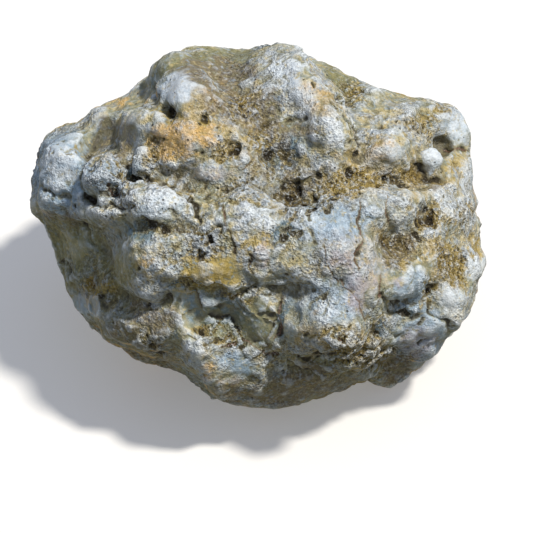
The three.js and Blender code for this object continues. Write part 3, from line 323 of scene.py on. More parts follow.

# Stains, painted shade and clean spots. The amount is the strength.
stains = {
    "tan": [
        [-14, 33, 9, 11, -15, 0.8], [-19, 25, 12, 7, 0.7], [19, 35, 9, 4.5, -50, 0.8], [-4, 25, 6, 12, 0.6],
        [30, 16, 15, 9, 10, 0.7], [47, 14, 12, 10, 0.6], [46, 30, 8, 4, 0.5], [56, 4, 6, 16, 10, 0.35],
        [-42, -15, 10, 9, -35, 0.6], [-13, -13.5, 9.5, 6, -8, 0.8], [54, -12, 7, 10, 20, 0.7],
        [40, -5, 7, 5, -20, 0.6], [29, -37, 12, 8, 10, 0.7], [17, -31, 8, 7, 0.5], [3, -6, 5, 3, 0.6],
        [28, -14, 7, 9, 0.35], [-57, 0, 8, 5, 0.5], [-14, -33, 7, 6, 0.4],
    ],
    "blue": [
        [-56, 15, 11, 14, 1], [-43, 13, 8, 8, 0.7], [-24, 40, 8, 5, 10, 0.8], [-27, 6, 9, 6, 0.6],
        [9, 43, 7, 5, -40, 0.7], [50, 18.6, 3.4, 3.2, 0.8], [58, 29, 6, 6, 0.7], [-33, 4, 5, 4, 0.6],
        [24, 1, 16, 7, 10, 0.8], [22, -22, 13, 9, 0.7], [-38, -6, 4, 8, 0.5], [44, -19, 7, 7, 0.9],
        [33, -22, 6, 9, 0.4], [-4, -40, 6, 5, 0.8], [-49, -23, 5, 5, 0.7], [10, 24, 6, 6, 0.5],
        [47, -33, 8, 11, -30, 0.9], [-28, -30, 10, 6, -30, 0.4],
    ],
    "ochre": [
        [26, 12.5, 10, 3.8, 8, 0.9], [-13.5, -13.5, 9, 5.6, -8, 0.9], [34, 13, 4, 2.5, 0.8],
        [34, 23.5, 4, 2, -20, 0.6], [26, 19, 4, 3, -40, 0.4], [57, 16, 4, 5, 0.5], [43, 14.5, 5, 2.6, 0.9],
        [-8, 21, 5, 2.6, -5, 1], [-14, 30.5, 3, 2, 0.8], [-1.5, 24.5, 2.5, 2, 0.8], [2.2, 21.5, 1.6, 4, 0.7],
        [-3, 33.5, 4, 3, 0.6], [-24, 31, 4.5, 2.2, -15, 0.8], [49.5, 1.5, 3, 5, -20, 0.9],
        [57, -11, 4, 9, 20, 0.9], [50, -18, 3, 3, 0.9], [48, -22, 1.6, 4, 0.7], [53.5, 2, 2, 5, 0.6],
        [62.5, -6, 1.6, 5, 0.9], [61, 4, 1.8, 3, 0.7], [37, -4.8, 2, 1.4, 0.8], [43, -10.5, 2.4, 1.6, 0.8],
        [29, -38, 8, 6, 0.8], [22, -33, 4, 3, 0.5], [18.5, -32, 3, 2.2, 0.6], [32, -31, 3, 2.4, 0.6],
        [52.5, 33.2, 2.5, 1.4, -15, 0.8], [48, 31, 3, 2.5, 0.7], [48.3, 27.3, 2.5, 2, 0.6],
        [29, 37.5, 3, 2.4, 0.7], [56, 17, 2.6, 1.6, 0.7], [61, 20, 1.6, 3, 0.6], [51.5, 13, 3, 1.5, 0.5],
        [-3, -7, 4, 2, -15, 0.9], [3.5, -5.5, 3, 1.6, -10, 0.7], [-4.5, -19.7, 6, 1.2, 0.9],
        [-15, -29, 3, 1.6, 10, 0.8], [-19, -18, 3, 3.2, 0.5], [-15, -9, 5, 2, 0.6], [-31, -13, 4, 4, 0.4],
        [-48, -17.5, 2.4, 2, 0.9], [-44, -18, 3.5, 2.5, 0.7], [-43, 18.5, 3, 1.6, 0.7],
        [-39, 13, 1.8, 4, 0.7], [-38, 5.2, 4, 1, -10, 0.8], [-27, 12.5, 5, 1, 0.5], [-17.5, 9.5, 2, 2, 0.6],
        [-52, 23, 4, 1, 10, 0.5],
    ],
    "orange": [
        [-21, 24.5, 10, 6, 8, 1], [-15, 25, 5, 5, 0.9], [-12, 37, 6, 5, -10, 0.35], [-24, 23.5, 8, 5, 8, 1],
        [-25, 22, 4, 2.6, 0.6], [17, 37, 8, 4, -50, 0.45], [22, 20, 4, 3, 0.3], [36, 22, 3.4, 4.5, -20, 0.6],
        [-13, -42.5, 3, 3, 0.7], [-38.5, 35, 1.8, 2.6, -40, 0.6], [-31.5, -10.5, 3, 3, 0.5],
        [14, -28, 6, 4, 0.25], [38, 28, 4, 2.5, 0.3],
    ],
    # brown stains, and painted shade and shadow on faces turned from the sun, in hollows and along the bottom
    "brownAndShade": [
        [-11, 43.5, 14, 4, -4, 1], [-11, 37.5, 9, 6, -10, 0.8], [-6, 33, 6, 5, 0.8], [11, 13, 5, 7, 25, 0.8],
        [51, 12.6, 3, 2.4, 1], [45.5, 16, 1.6, 3, 1], [4, 27, 14, 5, -60, 0.9], [12, 13, 8, 3.5, 10, 0.8],
        [2.5, 32, 4.5, 9, -15, 1], [-31, -27, 8, 5, -35, 1], [12, -44, 12, 4, 5, 1],
        [-44, 25, 4, 8, -25, 0.8], [-38, 24, 4.5, 8, -20, 0.8], [13, 27.5, 5, 2.4, 0.8], [3, 31, 3, 4, 0.6],
        [17, 14.5, 4, 4, 0.6], [10, 10, 9, 8, 25, 0.7], [47, 14.5, 4, 2.6, -30, 1], [-27, -27, 5, 4, 0.9],
        [40.5, -6.5, 5, 5.5, -20, 0.9], [49, 1, 3, 3.5, 0.7], [36.5, 15, 4, 2.2, 0.7], [33.8, 22, 2, 4, 0.6],
        [54, 21.5, 3, 2, 30, 0.7], [-36.5, 24.5, 3.4, 5.5, 0.7], [2, 15, 6, 6, 0.3], [-47, -16, 4, 4, 0.5],
        [-28, -36, 3, 4, 0.6], [2, -31, 5, 5, 0.5], [40, -41, 5, 5, 1], [10, -48, 30, 4.5, 2, 0.8],
        [-34, -34, 16, 6, -32, 0.7], [-47, -20, 8, 5, -40, 0.6], [0, 16, 9, 7, 0.5], [-22, 15, 8, 3, 5, 0.7],
        [-55, 2, 8, 2, -5, 0.7],
    ],
    # olive stains, and painted shade on the top band turned from the sun, the lower left and the bottom
    "oliveAndShade": [
        [-6, -28, 14, 7, -15, 0.6], [-14, -14, 10, 6.4, -8, 1], [-57, -4, 3.4, 4, 1],
        [-48, -12, 9, 8, 20, 0.8], [-40, -19, 6, 5, -30, 0.9], [-44, -3, 6, 3, 0.6], [-36, -22, 5, 2.5, 0.7],
        [-28, -29, 6, 4, 0.5], [-22, -32, 2.5, 7, 10, 0.6], [0, -24.5, 4, 4, 0.8], [1, -32, 5, 4, 0.7],
        [-16, 47, 14, 3.5, 5, 0.5], [-30, 43, 4, 6, -40, 0.6], [22, -40, 6, 2.5, 10, 0.8],
        [16, -42, 8, 4, 0.6], [35, 35.5, 4, 1.2, 0.5], [-9, -48, 6, 1.6, -8, 0.8], [-60, 0, 3, 2.5, 0.9],
        [-49, -8, 10, 12, 15, 0.8], [-42, -16, 8, 9, -30, 0.9], [16, -44, 22, 5, 5, 0.8],
        [-38, -32, 14, 7, -35, 0.6], [-16, 47, 20, 4.5, 4, 0.9], [25, 40, 9, 3.2, -35, 0.9],
    ],
    # blue-grey slate stains, and painted shade in recesses and on facets and faces turned from the sun
    "slateAndShade": [
        [-12, -24, 12, 6, -10, 0.7], [-2, -30, 9, 6, -20, 0.6], [-50, -6, 5, 4, 0.7],
        [-34, -2.5, 5, 3.4, 0.8], [-34.5, 14.5, 2.2, 3.6, -25, 0.9], [-45, 25, 3, 7, -25, 0.8],
        [-18, -24.5, 5, 4, 0.7], [-20.8, -17.2, 2.8, 1.8, 1], [-9, -24, 14, 5.5, -10, 0.7],
        [-9, -23.8, 4.5, 2, -10, 1], [-10, -27.3, 4.5, 1.8, 0.8], [6.5, -27, 1.6, 6, -5, 0.9],
        [10, -24, 2.6, 6, 0.6], [-4, -41, 6, 3, -30, 0.5], [8, -2.5, 2.6, 4.5, -25, 0.9],
        [9, 21.5, 7, 6, 25, 0.9], [3.5, 33, 4, 6, 0.6], [35, -31, 2.4, 2.6, 0.8], [41, -24, 5, 2.6, -15, 0.7],
        [31, -29, 3, 3, 0.4], [-40, -29, 8, 5, -20, 0.4], [10, -47, 9, 3, 5, 0.5], [21, -45, 6, 3, 10, 0.5],
    ],
    "mauve": [
        [-12, 14, 8, 3.5, 0.6], [28, -12, 15, 14, 0.5], [29.5, -20, 4.5, 6.5, -15, 0.9], [25, -11, 5, 4, 0.8],
        [41, -16, 4, 3, 0.8], [2, -9, 3, 4, 0.7], [46, -35, 6, 8, -30, 0.7], [-7, -45.5, 4, 2.6, -10, 0.6],
        [24, 2, 6, 4, 0.3], [-50, 17, 4, 4, 0.3],
    ],
    "clean": [
        [-22.5, 39.8, 6.2, 4.2, 10, 1], [23.5, 27, 4, 6, 30, 1], [8, 44, 7, 4.4, -35, 1],
        [12, 37, 10, 5, -50, 0.8], [62, 8, 4, 14, 0.7], [54, 8, 6, 6, 0.7], [-24, 14, 9, 2.6, -8, 0.6],
        [1, 13, 4, 2, 0.5], [57.5, 28.5, 5, 5.5, 0.7], [49.8, 19, 3.2, 3, 0.8], [-56, 17, 8, 8, 20, 0.7],
        [-27, 8.5, 7, 4.5, -10, 0.9], [0, 1, 8, 5, -35, 0.8], [15, 0, 7, 4, 0.5], [56, -22, 4.5, 7, 10, 0.8],
        [62.5, -12, 3, 4, 0.8], [19, -25, 4, 6, 0.6], [-17, -34, 4, 4, 0.6], [-21, 26.5, 5, 2.5, 10, 0.5],
        [-18, -4.5, 3, 2, 0.6], [-38.5, -6, 2, 6, 10, 0.6], [-9, -20, 1.8, 1.5, 0.7],
        [34.5, -36.3, 3, 1.4, 0.8], [30, -43.5, 3.6, 1.4, 8, 0.7], [60, 14, 3, 6, 0.5], [44, 33, 4, 2.8, 0.4],
        [33, -6.5, 3, 3, 0.5], [32, 37, 5, 4, 0.5],
    ],
}

# How each kind of form lifts or sinks the surface: its way, its spread and how steeply it falls.
profiles = [[swells, 1, 2.2, 2], [lumps, 1, 1.3, 1.2], [hollows, -1, 1.4, 1.5]]

tilt = math.radians(shot["elevation"])
faceAxes = np.array([[1, 0, 0], [0, math.sin(tilt), math.cos(tilt)], [0, -math.cos(tilt), math.sin(tilt)]])


def smoothStep(value, low, high):
    t = np.clip((value - low) / (high - low), 0, 1)
    return t * t * (3 - 2 * t)


# Smooth noise from -1 to 1, worked out from whole-number corners, so it is the same each run. Large whole
# numbers scramble a corner's place into its value.
def noiseAt(points, wave, seed):
    spot = points / wave + 31.7 * seed
    corner = np.floor(spot).astype(np.int64)
    part = spot - corner
    part = part * part * (3 - 2 * part)
    total = np.zeros(len(points))
    for x in (0, 1):
        for y in (0, 1):
            for z in (0, 1):
                mixed = (corner[:, 0] + x) * 73856093 ^ (corner[:, 1] + y) * 19349663
                mixed = (mixed ^ (corner[:, 2] + z) * 83492791) & 0x7FFFFFFF
                mixed = (mixed * 1103515245 + 12345) & 0x7FFFFFFF
                mixed = ((mixed >> 8) * 69069 + 1) & 0xFFFFFF
                share = np.where(x, part[:, 0], 1 - part[:, 0]) * np.where(y, part[:, 1], 1 - part[:, 1])
                total += (mixed / 0x7FFFFF - 1) * share * np.where(z, part[:, 2], 1 - part[:, 2])
    return total


# Each point drawn towards the mean of its neighbours, round after round; pulls are the shares of the way.
def relaxed(values, edges, rounds, pulls=(0.5,)):
    first, second = edges[:, 0], edges[:, 1]
    count = np.bincount(edges.ravel(), minlength=len(values))
    values = values.copy()
    for _ in range(rounds):
        for pull in pulls:
            for axis in range(values.shape[1]):
                column = values[:, axis]
                total = np.bincount(first, column[second], len(column))
                total += np.bincount(second, column[first], len(column))
                values[:, axis] += pull * (total / count - column)
    return values


def readVectors(mesh, name):
    flat = np.empty(3 * len(mesh.vertices), np.float32)
    mesh.vertices.foreach_get(name, flat)
    return flat.reshape(-1, 3).astype(float)


# A mesh's points in mm.
def readPoints(mesh):
    return readVectors(mesh, "co") / mm


# Moves the points to places in mm, and gives the normals that they have there.
def movePoints(mesh, points):
    mesh.vertices.foreach_set("co", (points * mm).astype(np.float32).ravel())
    mesh.update()
    return readVectors(mesh, "normal")


def edgesOf(mesh):
    flat = np.empty(2 * len(mesh.edges), np.int32)
    mesh.edges.foreach_get("vertices", flat)
    return flat.reshape(-1, 2)


def writeMask(mesh, name, values):
    attribute = mesh.attributes.get(name) or mesh.attributes.new(name, "FLOAT", "POINT")
    attribute.data.foreach_set("value", values.astype(np.float32))


# How far places are from a form's middle, as a share of its half size: 1 at the edge.
def reachOf(seen, across, up, halfAcross, halfUp, turn=0):
    angle = math.radians(turn)
    x, y = seen[:, 0] - across, seen[:, 1] - up
    along = x * math.cos(angle) + y * math.sin(angle)
    aside = y * math.cos(angle) - x * math.sin(angle)
    return np.hypot(along / halfAcross, aside / halfUp)


# The distance to a path, and + on the right of its way or - on the left.
def besidePath(seen, path):
    least = np.full(len(seen), np.inf)
    side = np.zeros(len(seen))
    for (x, y), (nextX, nextY) in zip(path, path[1:]):
        dx, dy = nextX - x, nextY - y
        t = np.clip(((seen[:, 0] - x) * dx + (seen[:, 1] - y) * dy) / (dx * dx + dy * dy), 0, 1)
        px, py = seen[:, 0] - x - t * dx, seen[:, 1] - y - t * dy
        far = np.hypot(px, py)
        near = far < least
        least = np.where(near, far, least)
        side = np.where(near, np.sign(dy * px - dx * py), side)
    return least, side


# + inside a closed outline and - outside, by the distance to it.
def insideOutline(seen, corners):
    least, _ = besidePath(seen, corners + corners[:1])
    inside = np.zeros(len(seen), bool)
    for (x, y), (nextX, nextY) in zip(corners, corners[1:] + corners[:1]):
        if y != nextY:
            crosses = (seen[:, 1] > y) != (seen[:, 1] > nextY)
            inside ^= crosses & (seen[:, 0] < x + (nextX - x) * (seen[:, 1] - y) / (nextY - y))
    return np.where(inside, least, -least)


def toLinear(hexColour):
    parts = [int(hexColour[i : i + 2], 16) / 255 for i in (1, 3, 5)]
    return [c / 12.92 if c <= 0.04045 else ((c + 0.055) / 1.055) ** 2.4 for c in parts] + [1]


# The nodes that are wanted most often, by a short name, with the settings that each always has.
usual = {
    "noise": ["ShaderNodeTexNoise", {"noise_dimensions": "4D"}],
    "cells": ["ShaderNodeTexVoronoi", {"voronoi_dimensions": "4D"}],
    "smooth range": ["ShaderNodeMapRange", {"interpolation_type": "SMOOTHSTEP"}],
    "mix": ["ShaderNodeMix", {"data_type": "RGBA"}],
}
for words in ("add", "subtract", "multiply", "multiply add", "divide", "absolute", "maximum", "less than"):
    usual[words] = ["ShaderNodeMath", {"operation": words.upper().replace(" ", "_")}]
for words in ("add", "subtract", "scale", "dot product"):
    usual["vector " + words] = ["ShaderNodeVectorMath", {"operation": words.upper().replace(" ", "_")}]


# Adds a node. Its inputs go by order, number or name, and each is a value, an output, or a node, which stands
# for its first output in use.
def add(tree, kind, inputs=(), **settings):
    kind, always = usual.get(kind, [kind, {}])
    node = tree.nodes.new(kind)
    for name, value in (always | settings).items():
        setattr(node, name, value)
    for key, value in inputs.items() if isinstance(inputs, dict) else enumerate(inputs):
        if isinstance(value, bpy.types.Node):
            value = next(output for output in value.outputs if output.enabled)
        if isinstance(value, bpy.types.NodeSocket):
            tree.links.new(value, node.inputs[key])
        else:
            node.inputs[key].default_value = value
    return node


def makeCamera(seenMiddle):
    camera = bpy.data.objects.new("camera", bpy.data.cameras.new("camera"))
    bpy.context.collection.objects.link(camera)
    camera.data.lens = shot["lens"]
    camera.data.sensor_width = shot["sensor"]
    camera.data.clip_start, camera.data.clip_end = shot["clip"]
    target = seenMiddle + shot["aside"][0] * faceAxes[0] + shot["aside"][1] * faceAxes[1]
    camera.location = Vector((target + shot["distance"] * faceAxes[2]) * mm)
    camera.rotation_euler = Vector(faceAxes[2]).to_track_quat("Z", "Y").to_euler()
    bpy.context.scene.camera = camera
    bpy.context.scene.view_settings.view_transform = "Standard"


def makeLight():
    sun = bpy.data.objects.new("sun", bpy.data.lights.new("sun", "SUN"))
    bpy.context.collection.objects.link(sun)
    sun.data.energy = lighting["sun"]
    sun.data.angle = math.radians(lighting["sunWidth"])
    sun.data.color = toLinear(lighting["sunColour"])[:3]
    sun.rotation_euler = Vector(lighting["sunFrom"]).to_track_quat("Z", "Y").to_euler()
    world = bpy.data.worlds.new("studio")
    bpy.context.scene.world = world
    world.use_nodes = True
    tree = world.node_tree
    tree.nodes.clear()
    way = add(tree, "ShaderNodeTexCoord")
    height = add(tree, "ShaderNodeSeparateXYZ", [way.outputs["Generated"]])
    rise = add(tree, "ShaderNodeMapRange", [height.outputs[2], *lighting["horizon"]])
    ground, sky = (
        [part * lighting[name] for part in toLinear(lighting[name + "Colour"])[:3]] + [1]
        for name in ("ground", "sky")
    )
    both = add(tree, "mix", {0: rise, 6: ground, 7: sky})
    light = add(tree, "ShaderNodeBackground", [both])
    add(tree, "ShaderNodeOutputWorld", [light])


# A light table's matt white acrylic, lit a little from beneath, which keeps the shadow pale. It leaves the
# light under the nodule to the dull ground.
def makeFloor():
    material = bpy.data.materials.new("litAcrylic")
    material.use_nodes = True
    shader = material.node_tree.nodes["Principled BSDF"]
    shader.inputs["Base Color"].default_value = toLinear(lighting["floorColour"])
    shader.inputs["Roughness"].default_value = lighting["floorRoughness"]
    shader.inputs["Specular IOR Level"].default_value = lighting["floorGloss"]
    shader.inputs["Emission Color"].default_value = toLinear(lighting["glowColour"])
    shader.inputs["Emission Strength"].default_value = lighting["floorGlow"]
    bpy.ops.mesh.primitive_plane_add(size=lighting["floorSize"])
    floor = bpy.context.object
    floor.name = "floor"
    floor.data.materials.append(material)
    floor.visible_diffuse = False


# The piece with its modifiers applied, as a plain mesh.
def freeze(piece):
    evaluated = piece.evaluated_get(bpy.context.evaluated_depsgraph_get())
    mesh = bpy.data.meshes.new_from_object(evaluated)
    piece.modifiers.clear()
    piece.data = mesh
    return piece


# The same shape with points that lie evenly all over it.
def evenOut(piece):
    remesh = piece.modifiers.new("even", "REMESH")
    remesh.mode = "VOXEL"
    remesh.voxel_size = body["voxel"] * mm
    return freeze(piece)


# The CAD node's copy with its loose triangles joined, remeshed evenly.
def makeEvenMesh(node):
    mesh = node.data.copy()
    joined = bmesh.new()
    joined.from_mesh(mesh)
    bmesh.ops.remove_doubles(joined, verts=joined.verts, dist=body["weld"] * mm)
    joined.to_mesh(mesh)
    joined.free()
    piece = bpy.data.objects.new("weatheredNodule", mesh)
    bpy.context.collection.objects.link(piece)
    return evenOut(piece)


# Where each point appears from the camera: [across, up] in mm, from the nodule's middle.
def seenFromCamera(points, seenMiddle):
    local = (points - seenMiddle) @ faceAxes.T - [*shot["aside"], 0]
    return local[:, :2] * shot["distance"] / (shot["distance"] - local[:, 2:]) + shot["aside"]


# The smoothed normals, how far each point belongs to the show face, and where it appears.
def readFace(mesh, points, edges, seenMiddle):
    normals = relaxed(movePoints(mesh, points), edges, body["normalRounds"])
    normals /= np.linalg.norm(normals, axis=1, keepdims=True)
    front = smoothStep(normals @ faceAxes[2], *body["facing"])
    return normals, front, seenFromCamera(points, seenMiddle)


# The places moved about by noise, so that what they draw has an uneven outline.
def frayed(seen, points, waves, seed):
    moved = seen.copy()
    for step, (wave, reach) in enumerate(waves):
        for axis in (0, 1):
            moved[:, axis] += reach * noiseAt(points, wave, seed + 2 * step + axis)
    return moved


def patches(seen, wanted):
    mask = np.zeros(len(seen))
    for *place, strength in wanted:
        mask = np.maximum(mask, strength * (1 - smoothStep(reachOf(seen, *place), *body["patchFade"])))
    return mask


# The facets smoothed away, the deep hollows filled, and the lumps levelled towards the broad form.
def weatherDown(mesh, start, edges, seenMiddle):
    points = relaxed(start, edges, body["smoothing"], body["pulls"])
    broad = relaxed(points, edges, body["broadRounds"])
    broadNormals = movePoints(mesh, broad)
    depth = ((broad - points) * broadNormals).sum(1)
    excess = np.clip(depth - body["deepest"], 0, None) * (1 - body["keptDepth"])
    points = relaxed(points + excess[:, None] * broadNormals, edges, body["filledRounds"])
    settled = np.maximum(body["settled"], patches(seenFromCamera(points, seenMiddle), levelled))
    return points + settled[:, None] * (broad - points)


def liftOfForms(seen):
    lift = np.zeros(len(seen))
    for forms, way, spread, steepness in profiles:
        for *place, rise in forms:
            reach = reachOf(seen, *place)
            lift += way * rise * np.clip(1 - reach * reach / spread, 0, None) ** steepness
    return lift


# Draws what lies inside each fracture's outline to the plane that fits it best, tipped and set deeper.
def breakPlanes(points, seen, front):
    for corners, tip, depth, _ in fractures:
        inside = insideOutline(seen, corners)
        local = points @ faceAxes.T
        chosen = (inside > 0) & (front > 0.5)
        flat = np.c_[local[chosen, :2], np.ones(chosen.sum())]
        plane = np.linalg.lstsq(flat, local[chosen, 2], rcond=None)[0]
        middle = local[chosen, :2].mean(0)
        wanted = local[:, :2] @ plane[:2] + plane[2] + (local[:, :2] - middle) @ np.array(tip) - depth
        share = smoothStep(inside, *body["planeEdge"]) * front
        points += ((wanted - local[:, 2]) * share * body["planeShare"])[:, None] * faceAxes[2]


# The high side of a step falls away slowly behind it, and the low side dips and comes back sooner.
def liftOfSteps(seen):
    lift = np.zeros(len(seen))
    for height, run, path in steps:
        far, side = besidePath(seen, path)
        dip = -body["stepDip"] * height * np.exp(-2 * far / run)
        lift += np.where(side > 0, height * np.exp(-far / run), dip)
    return lift


def sculpt(piece, seenMiddle):
    mesh = piece.data
    edges = edgesOf(mesh)
    start = readPoints(mesh)
    points = weatherDown(mesh, start, edges, seenMiddle)
    normals, front, places = readFace(mesh, points, edges, seenMiddle)
    seen = frayed(places, points, body["frayed"], body["seed"])
    points += (liftOfForms(seen) * front)[:, None] * normals
    breakPlanes(points, seen, front)
    points += (liftOfSteps(seen) * front)[:, None] * normals
    points = relaxed(points, edges, 1)
    points[start[:, 2] < body["rest"], 2] = 0
    points[:, 2] = np.maximum(points[:, 2], 0)
    movePoints(mesh, points)


# Writes where each finish and stain lies, the painted shade of the brown, olive and slate stains too. Behind
# the show face they come from noise.
def paintMasks(mesh, points, front, seen, frayedMore):
    placed = {name: patches(frayedMore, wanted) for name, wanted in (finish | stains).items()}
    for corners, _, _, stain in fractures:
        inside = insideOutline(seen, corners)
        placed["calm"] = np.maximum(placed["calm"], smoothStep(inside, *body["planeCalm"]))
        stained = body["planeStained"] * smoothStep(inside, *body["planeStain"])
        placed[stain] = np.maximum(placed[stain], stained)
    large, small = body["cloudWaves"]
    for step, (name, strength) in enumerate(placed.items()):
        seed = body["seed"] + 5 + step
        cloud = noiseAt(points, large, seed) + 0.5 * noiseAt(points, small, seed)
        behind = body["cloudShare"] * smoothStep(cloud, *body["cloudEdge"])
        writeMask(mesh, name, strength * front + behind * (1 - front))


# How far the creases and pits sink the surface, with the distance to the nearest hairline crack written down.
def cutCracks(mesh, points, front, seen):
    lift = np.zeros(len(seen))
    nearest = crackSide = np.full(len(seen), float(body["farOff"]))
    for halfWidth, depth, path in creases:
        far, side = besidePath(seen, path)
        fall = (far / max(halfWidth, body["creaseLeast"])) ** 1.5
        lift -= body["creaseShare"] * depth * np.exp(-fall)
        if halfWidth <= body["hairline"]:
            crackSide = np.where(far < nearest, np.where(side > 0, far, -far), crackSide)
            nearest = np.minimum(nearest, far)
    uneven = frayed(seen, points, body["pitFrayed"], 5)
    for across, up, radius, depth in pits:
        reach = np.hypot(uneven[:, 0] - across, uneven[:, 1] - up) / radius
        lift -= body["pitShare"] * depth * np.clip(1 - reach ** 2, 0, None)
    writeMask(mesh, "cracked", np.exp(-nearest ** 2) * front)
    writeMask(mesh, "crackSide", crackSide)
    return lift


def cutAndPaint(piece, seenMiddle):
    mesh = piece.data
    edges = edgesOf(mesh)
    points = readPoints(mesh)
    resting = points[:, 2] < body["rest"]
    points = relaxed(points, edges, body["softRounds"], body["pulls"])
    points[resting, 2] = 0
    normals, front, places = readFace(mesh, points, edges, seenMiddle)
    seen = frayed(places, points, body["frayed"], body["seed"])
    frayedMore = frayed(places, points, body["stainFrayed"], body["seed"] + 40)
    paintMasks(mesh, points, front, seen, frayedMore)
    lift = cutCracks(mesh, points, front, seen)
    movePoints(mesh, points + (lift * front)[:, None] * normals)
    writeMask(mesh, "resting", resting.astype(float))


# The crust's own relief in mm, the same all round: swells, knobs, grains, wrinkles, crumbs and pits.
crustRelief = {
    "Stray Size": 5, "Stray": 3.2,  # how far noise moves the knobs and pits, so that none is round
    "Swell Size": 11, "Swell Height": 3.4,
    "Knob Size": 5.6, "Knob Height": 1.25, "Knob Softness": 0.35,
    "Grain Size": 2.4, "Grain Height": 0.9,
    "Wrinkle Size": 8, "Wrinkle Depth": 0.3, "Wrinkle Width": 0.07,
    "Rubble Size": 3.6, "Rubble Height": 1.5,
    "Chip Size": 7, "Chip Tilt": 0.45, "Chip Step": 0.45,
    "Crumb Size": 1.7, "Crumb Height": 1.3,
    "Pit Spacing": 4.2, "Pit Radius": 0.6, "Pit Depth": 0.8, "Pit Share": 0.4,
    "Pit Floor": 0.3, "Pit Rim": 1.1, "Pit Least": 0.35, "Pit Variety": 0.9,  # shares of the radius
    "Coarse Grain": 0.6, "Coarse Pits": 0.35,  # what coarse spots add
    "Calm Knobs": -0.6, "Calm Crust": -0.75,  # what calm spots take off
    "Seed": 3,
}
# How much detail each noise has, how rough it is and how far it lies from the seed.
reliefNoise = {"Swell": (3, 0.5, 0), "Grain": (4, 0.6, 10), "Wrinkle": (1, 0.5, 20)}


# Swells, grains, and narrow valleys where the third noise passes its middle.
def drawNoises(tree, given, often, mask, inMm):
    layer = {}
    for name, (detail, roughness, offset) in reliefNoise.items():
        seed = add(tree, "add", [given["Seed"], offset])
        look = {"Vector": inMm, "W": seed, "Scale": often[name + " Size"]}
        noise = add(tree, "noise", look | {"Detail": detail, "Roughness": roughness})
        layer[name] = add(tree, "subtract", [noise, 0.5])
    swell = add(tree, "multiply", [layer["Swell"], given["Swell Height"]])
    grain = add(tree, "multiply", [layer["Grain"], given["Grain Height"]])
    strength = add(tree, "multiply add", [mask["coarse"], given["Coarse Grain"], 1])
    grain = add(tree, "multiply", [grain, strength])
    fold = add(tree, "absolute", [layer["Wrinkle"]])
    valley = add(tree, "smooth range", [fold, 0, given["Wrinkle Width"], 1, 0])
    wrinkle = add(tree, "multiply", [valley, given["Wrinkle Depth"]])
    return swell, add(tree, "subtract", [grain, wrinkle])


# Knobs, rubble and crumbs, which rise towards the middle of their cells.
def drawKnobs(tree, given, often, mask, strayed, broad, fine):
    cells = {"Vector": strayed, "Scale": often["Knob Size"], "W": given["Seed"]}
    knobs = add(tree, "cells", cells | {"Smoothness": given["Knob Softness"]}, feature="SMOOTH_F1")
    knob = add(tree, "subtract", [0.5, knobs])
    knob = add(tree, "multiply", [knob, given["Knob Height"]])
    fewer = add(tree, "multiply add", [mask["calm"], given["Calm Knobs"], 1])
    broad = add(tree, "multiply add", [knob, fewer, broad])
    for name in ("Rubble", "Crumb"):
        crumbs = add(tree, "cells", cells | {"Scale": often[name + " Size"]})
        crumb = add(tree, "subtract", [0.45, crumbs])
        crumb = add(tree, "multiply", [crumb, given[name + " Height"]])
        fine = add(tree, "multiply add", [crumb, mask["coarse"], fine])
    return broad, fine


# Chips: each cell is a plane that tips its own way.
def drawChips(tree, given, often, inMm):
    chips = add(tree, "cells", {"Vector": inMm, "Scale": often["Chip Size"], "W": given["Seed"]})
    away = add(tree, "vector subtract", [inMm, chips.outputs["Position"]])
    tip = add(tree, "vector subtract", [chips.outputs["Color"], [0.5] * 3])
    slope = add(tree, "vector dot product", [away, tip])
    slope = add(tree, "multiply", [slope, given["Chip Tilt"]])
    rank = add(tree, "FunctionNodeSeparateColor", [chips.outputs["Color"]])
    rank = add(tree, "subtract", [rank, 0.5])
    return add(tree, "multiply add", [rank, given["Chip Step"], slope])


# Pits: some cells have a bowl in their middle, each of its own size.
def drawPits(tree, given, often, mask, strayed):
    holes = add(tree, "ShaderNodeTexVoronoi", {"Vector": strayed, "Scale": often["Pit Spacing"]})
    chance = add(tree, "FunctionNodeSeparateColor", [holes.outputs["Color"]])
    away = add(tree, "multiply", [holes, given["Pit Spacing"]])
    size = add(tree, "multiply add", [chance, given["Pit Variety"], given["Pit Least"]])
    size = add(tree, "multiply", [size, given["Pit Radius"]])
    reach = add(tree, "divide", [away, size])
    bowl = add(tree, "smooth range", [reach, given["Pit Floor"], given["Pit Rim"], 1, 0])
    share = add(tree, "multiply add", [mask["coarse"], given["Coarse Pits"], given["Pit Share"]])
    shown = add(tree, "less than", [chance.outputs[1], share])
    hole = add(tree, "multiply", [bowl, shown])
    return add(tree, "multiply", [hole, given["Pit Depth"]])


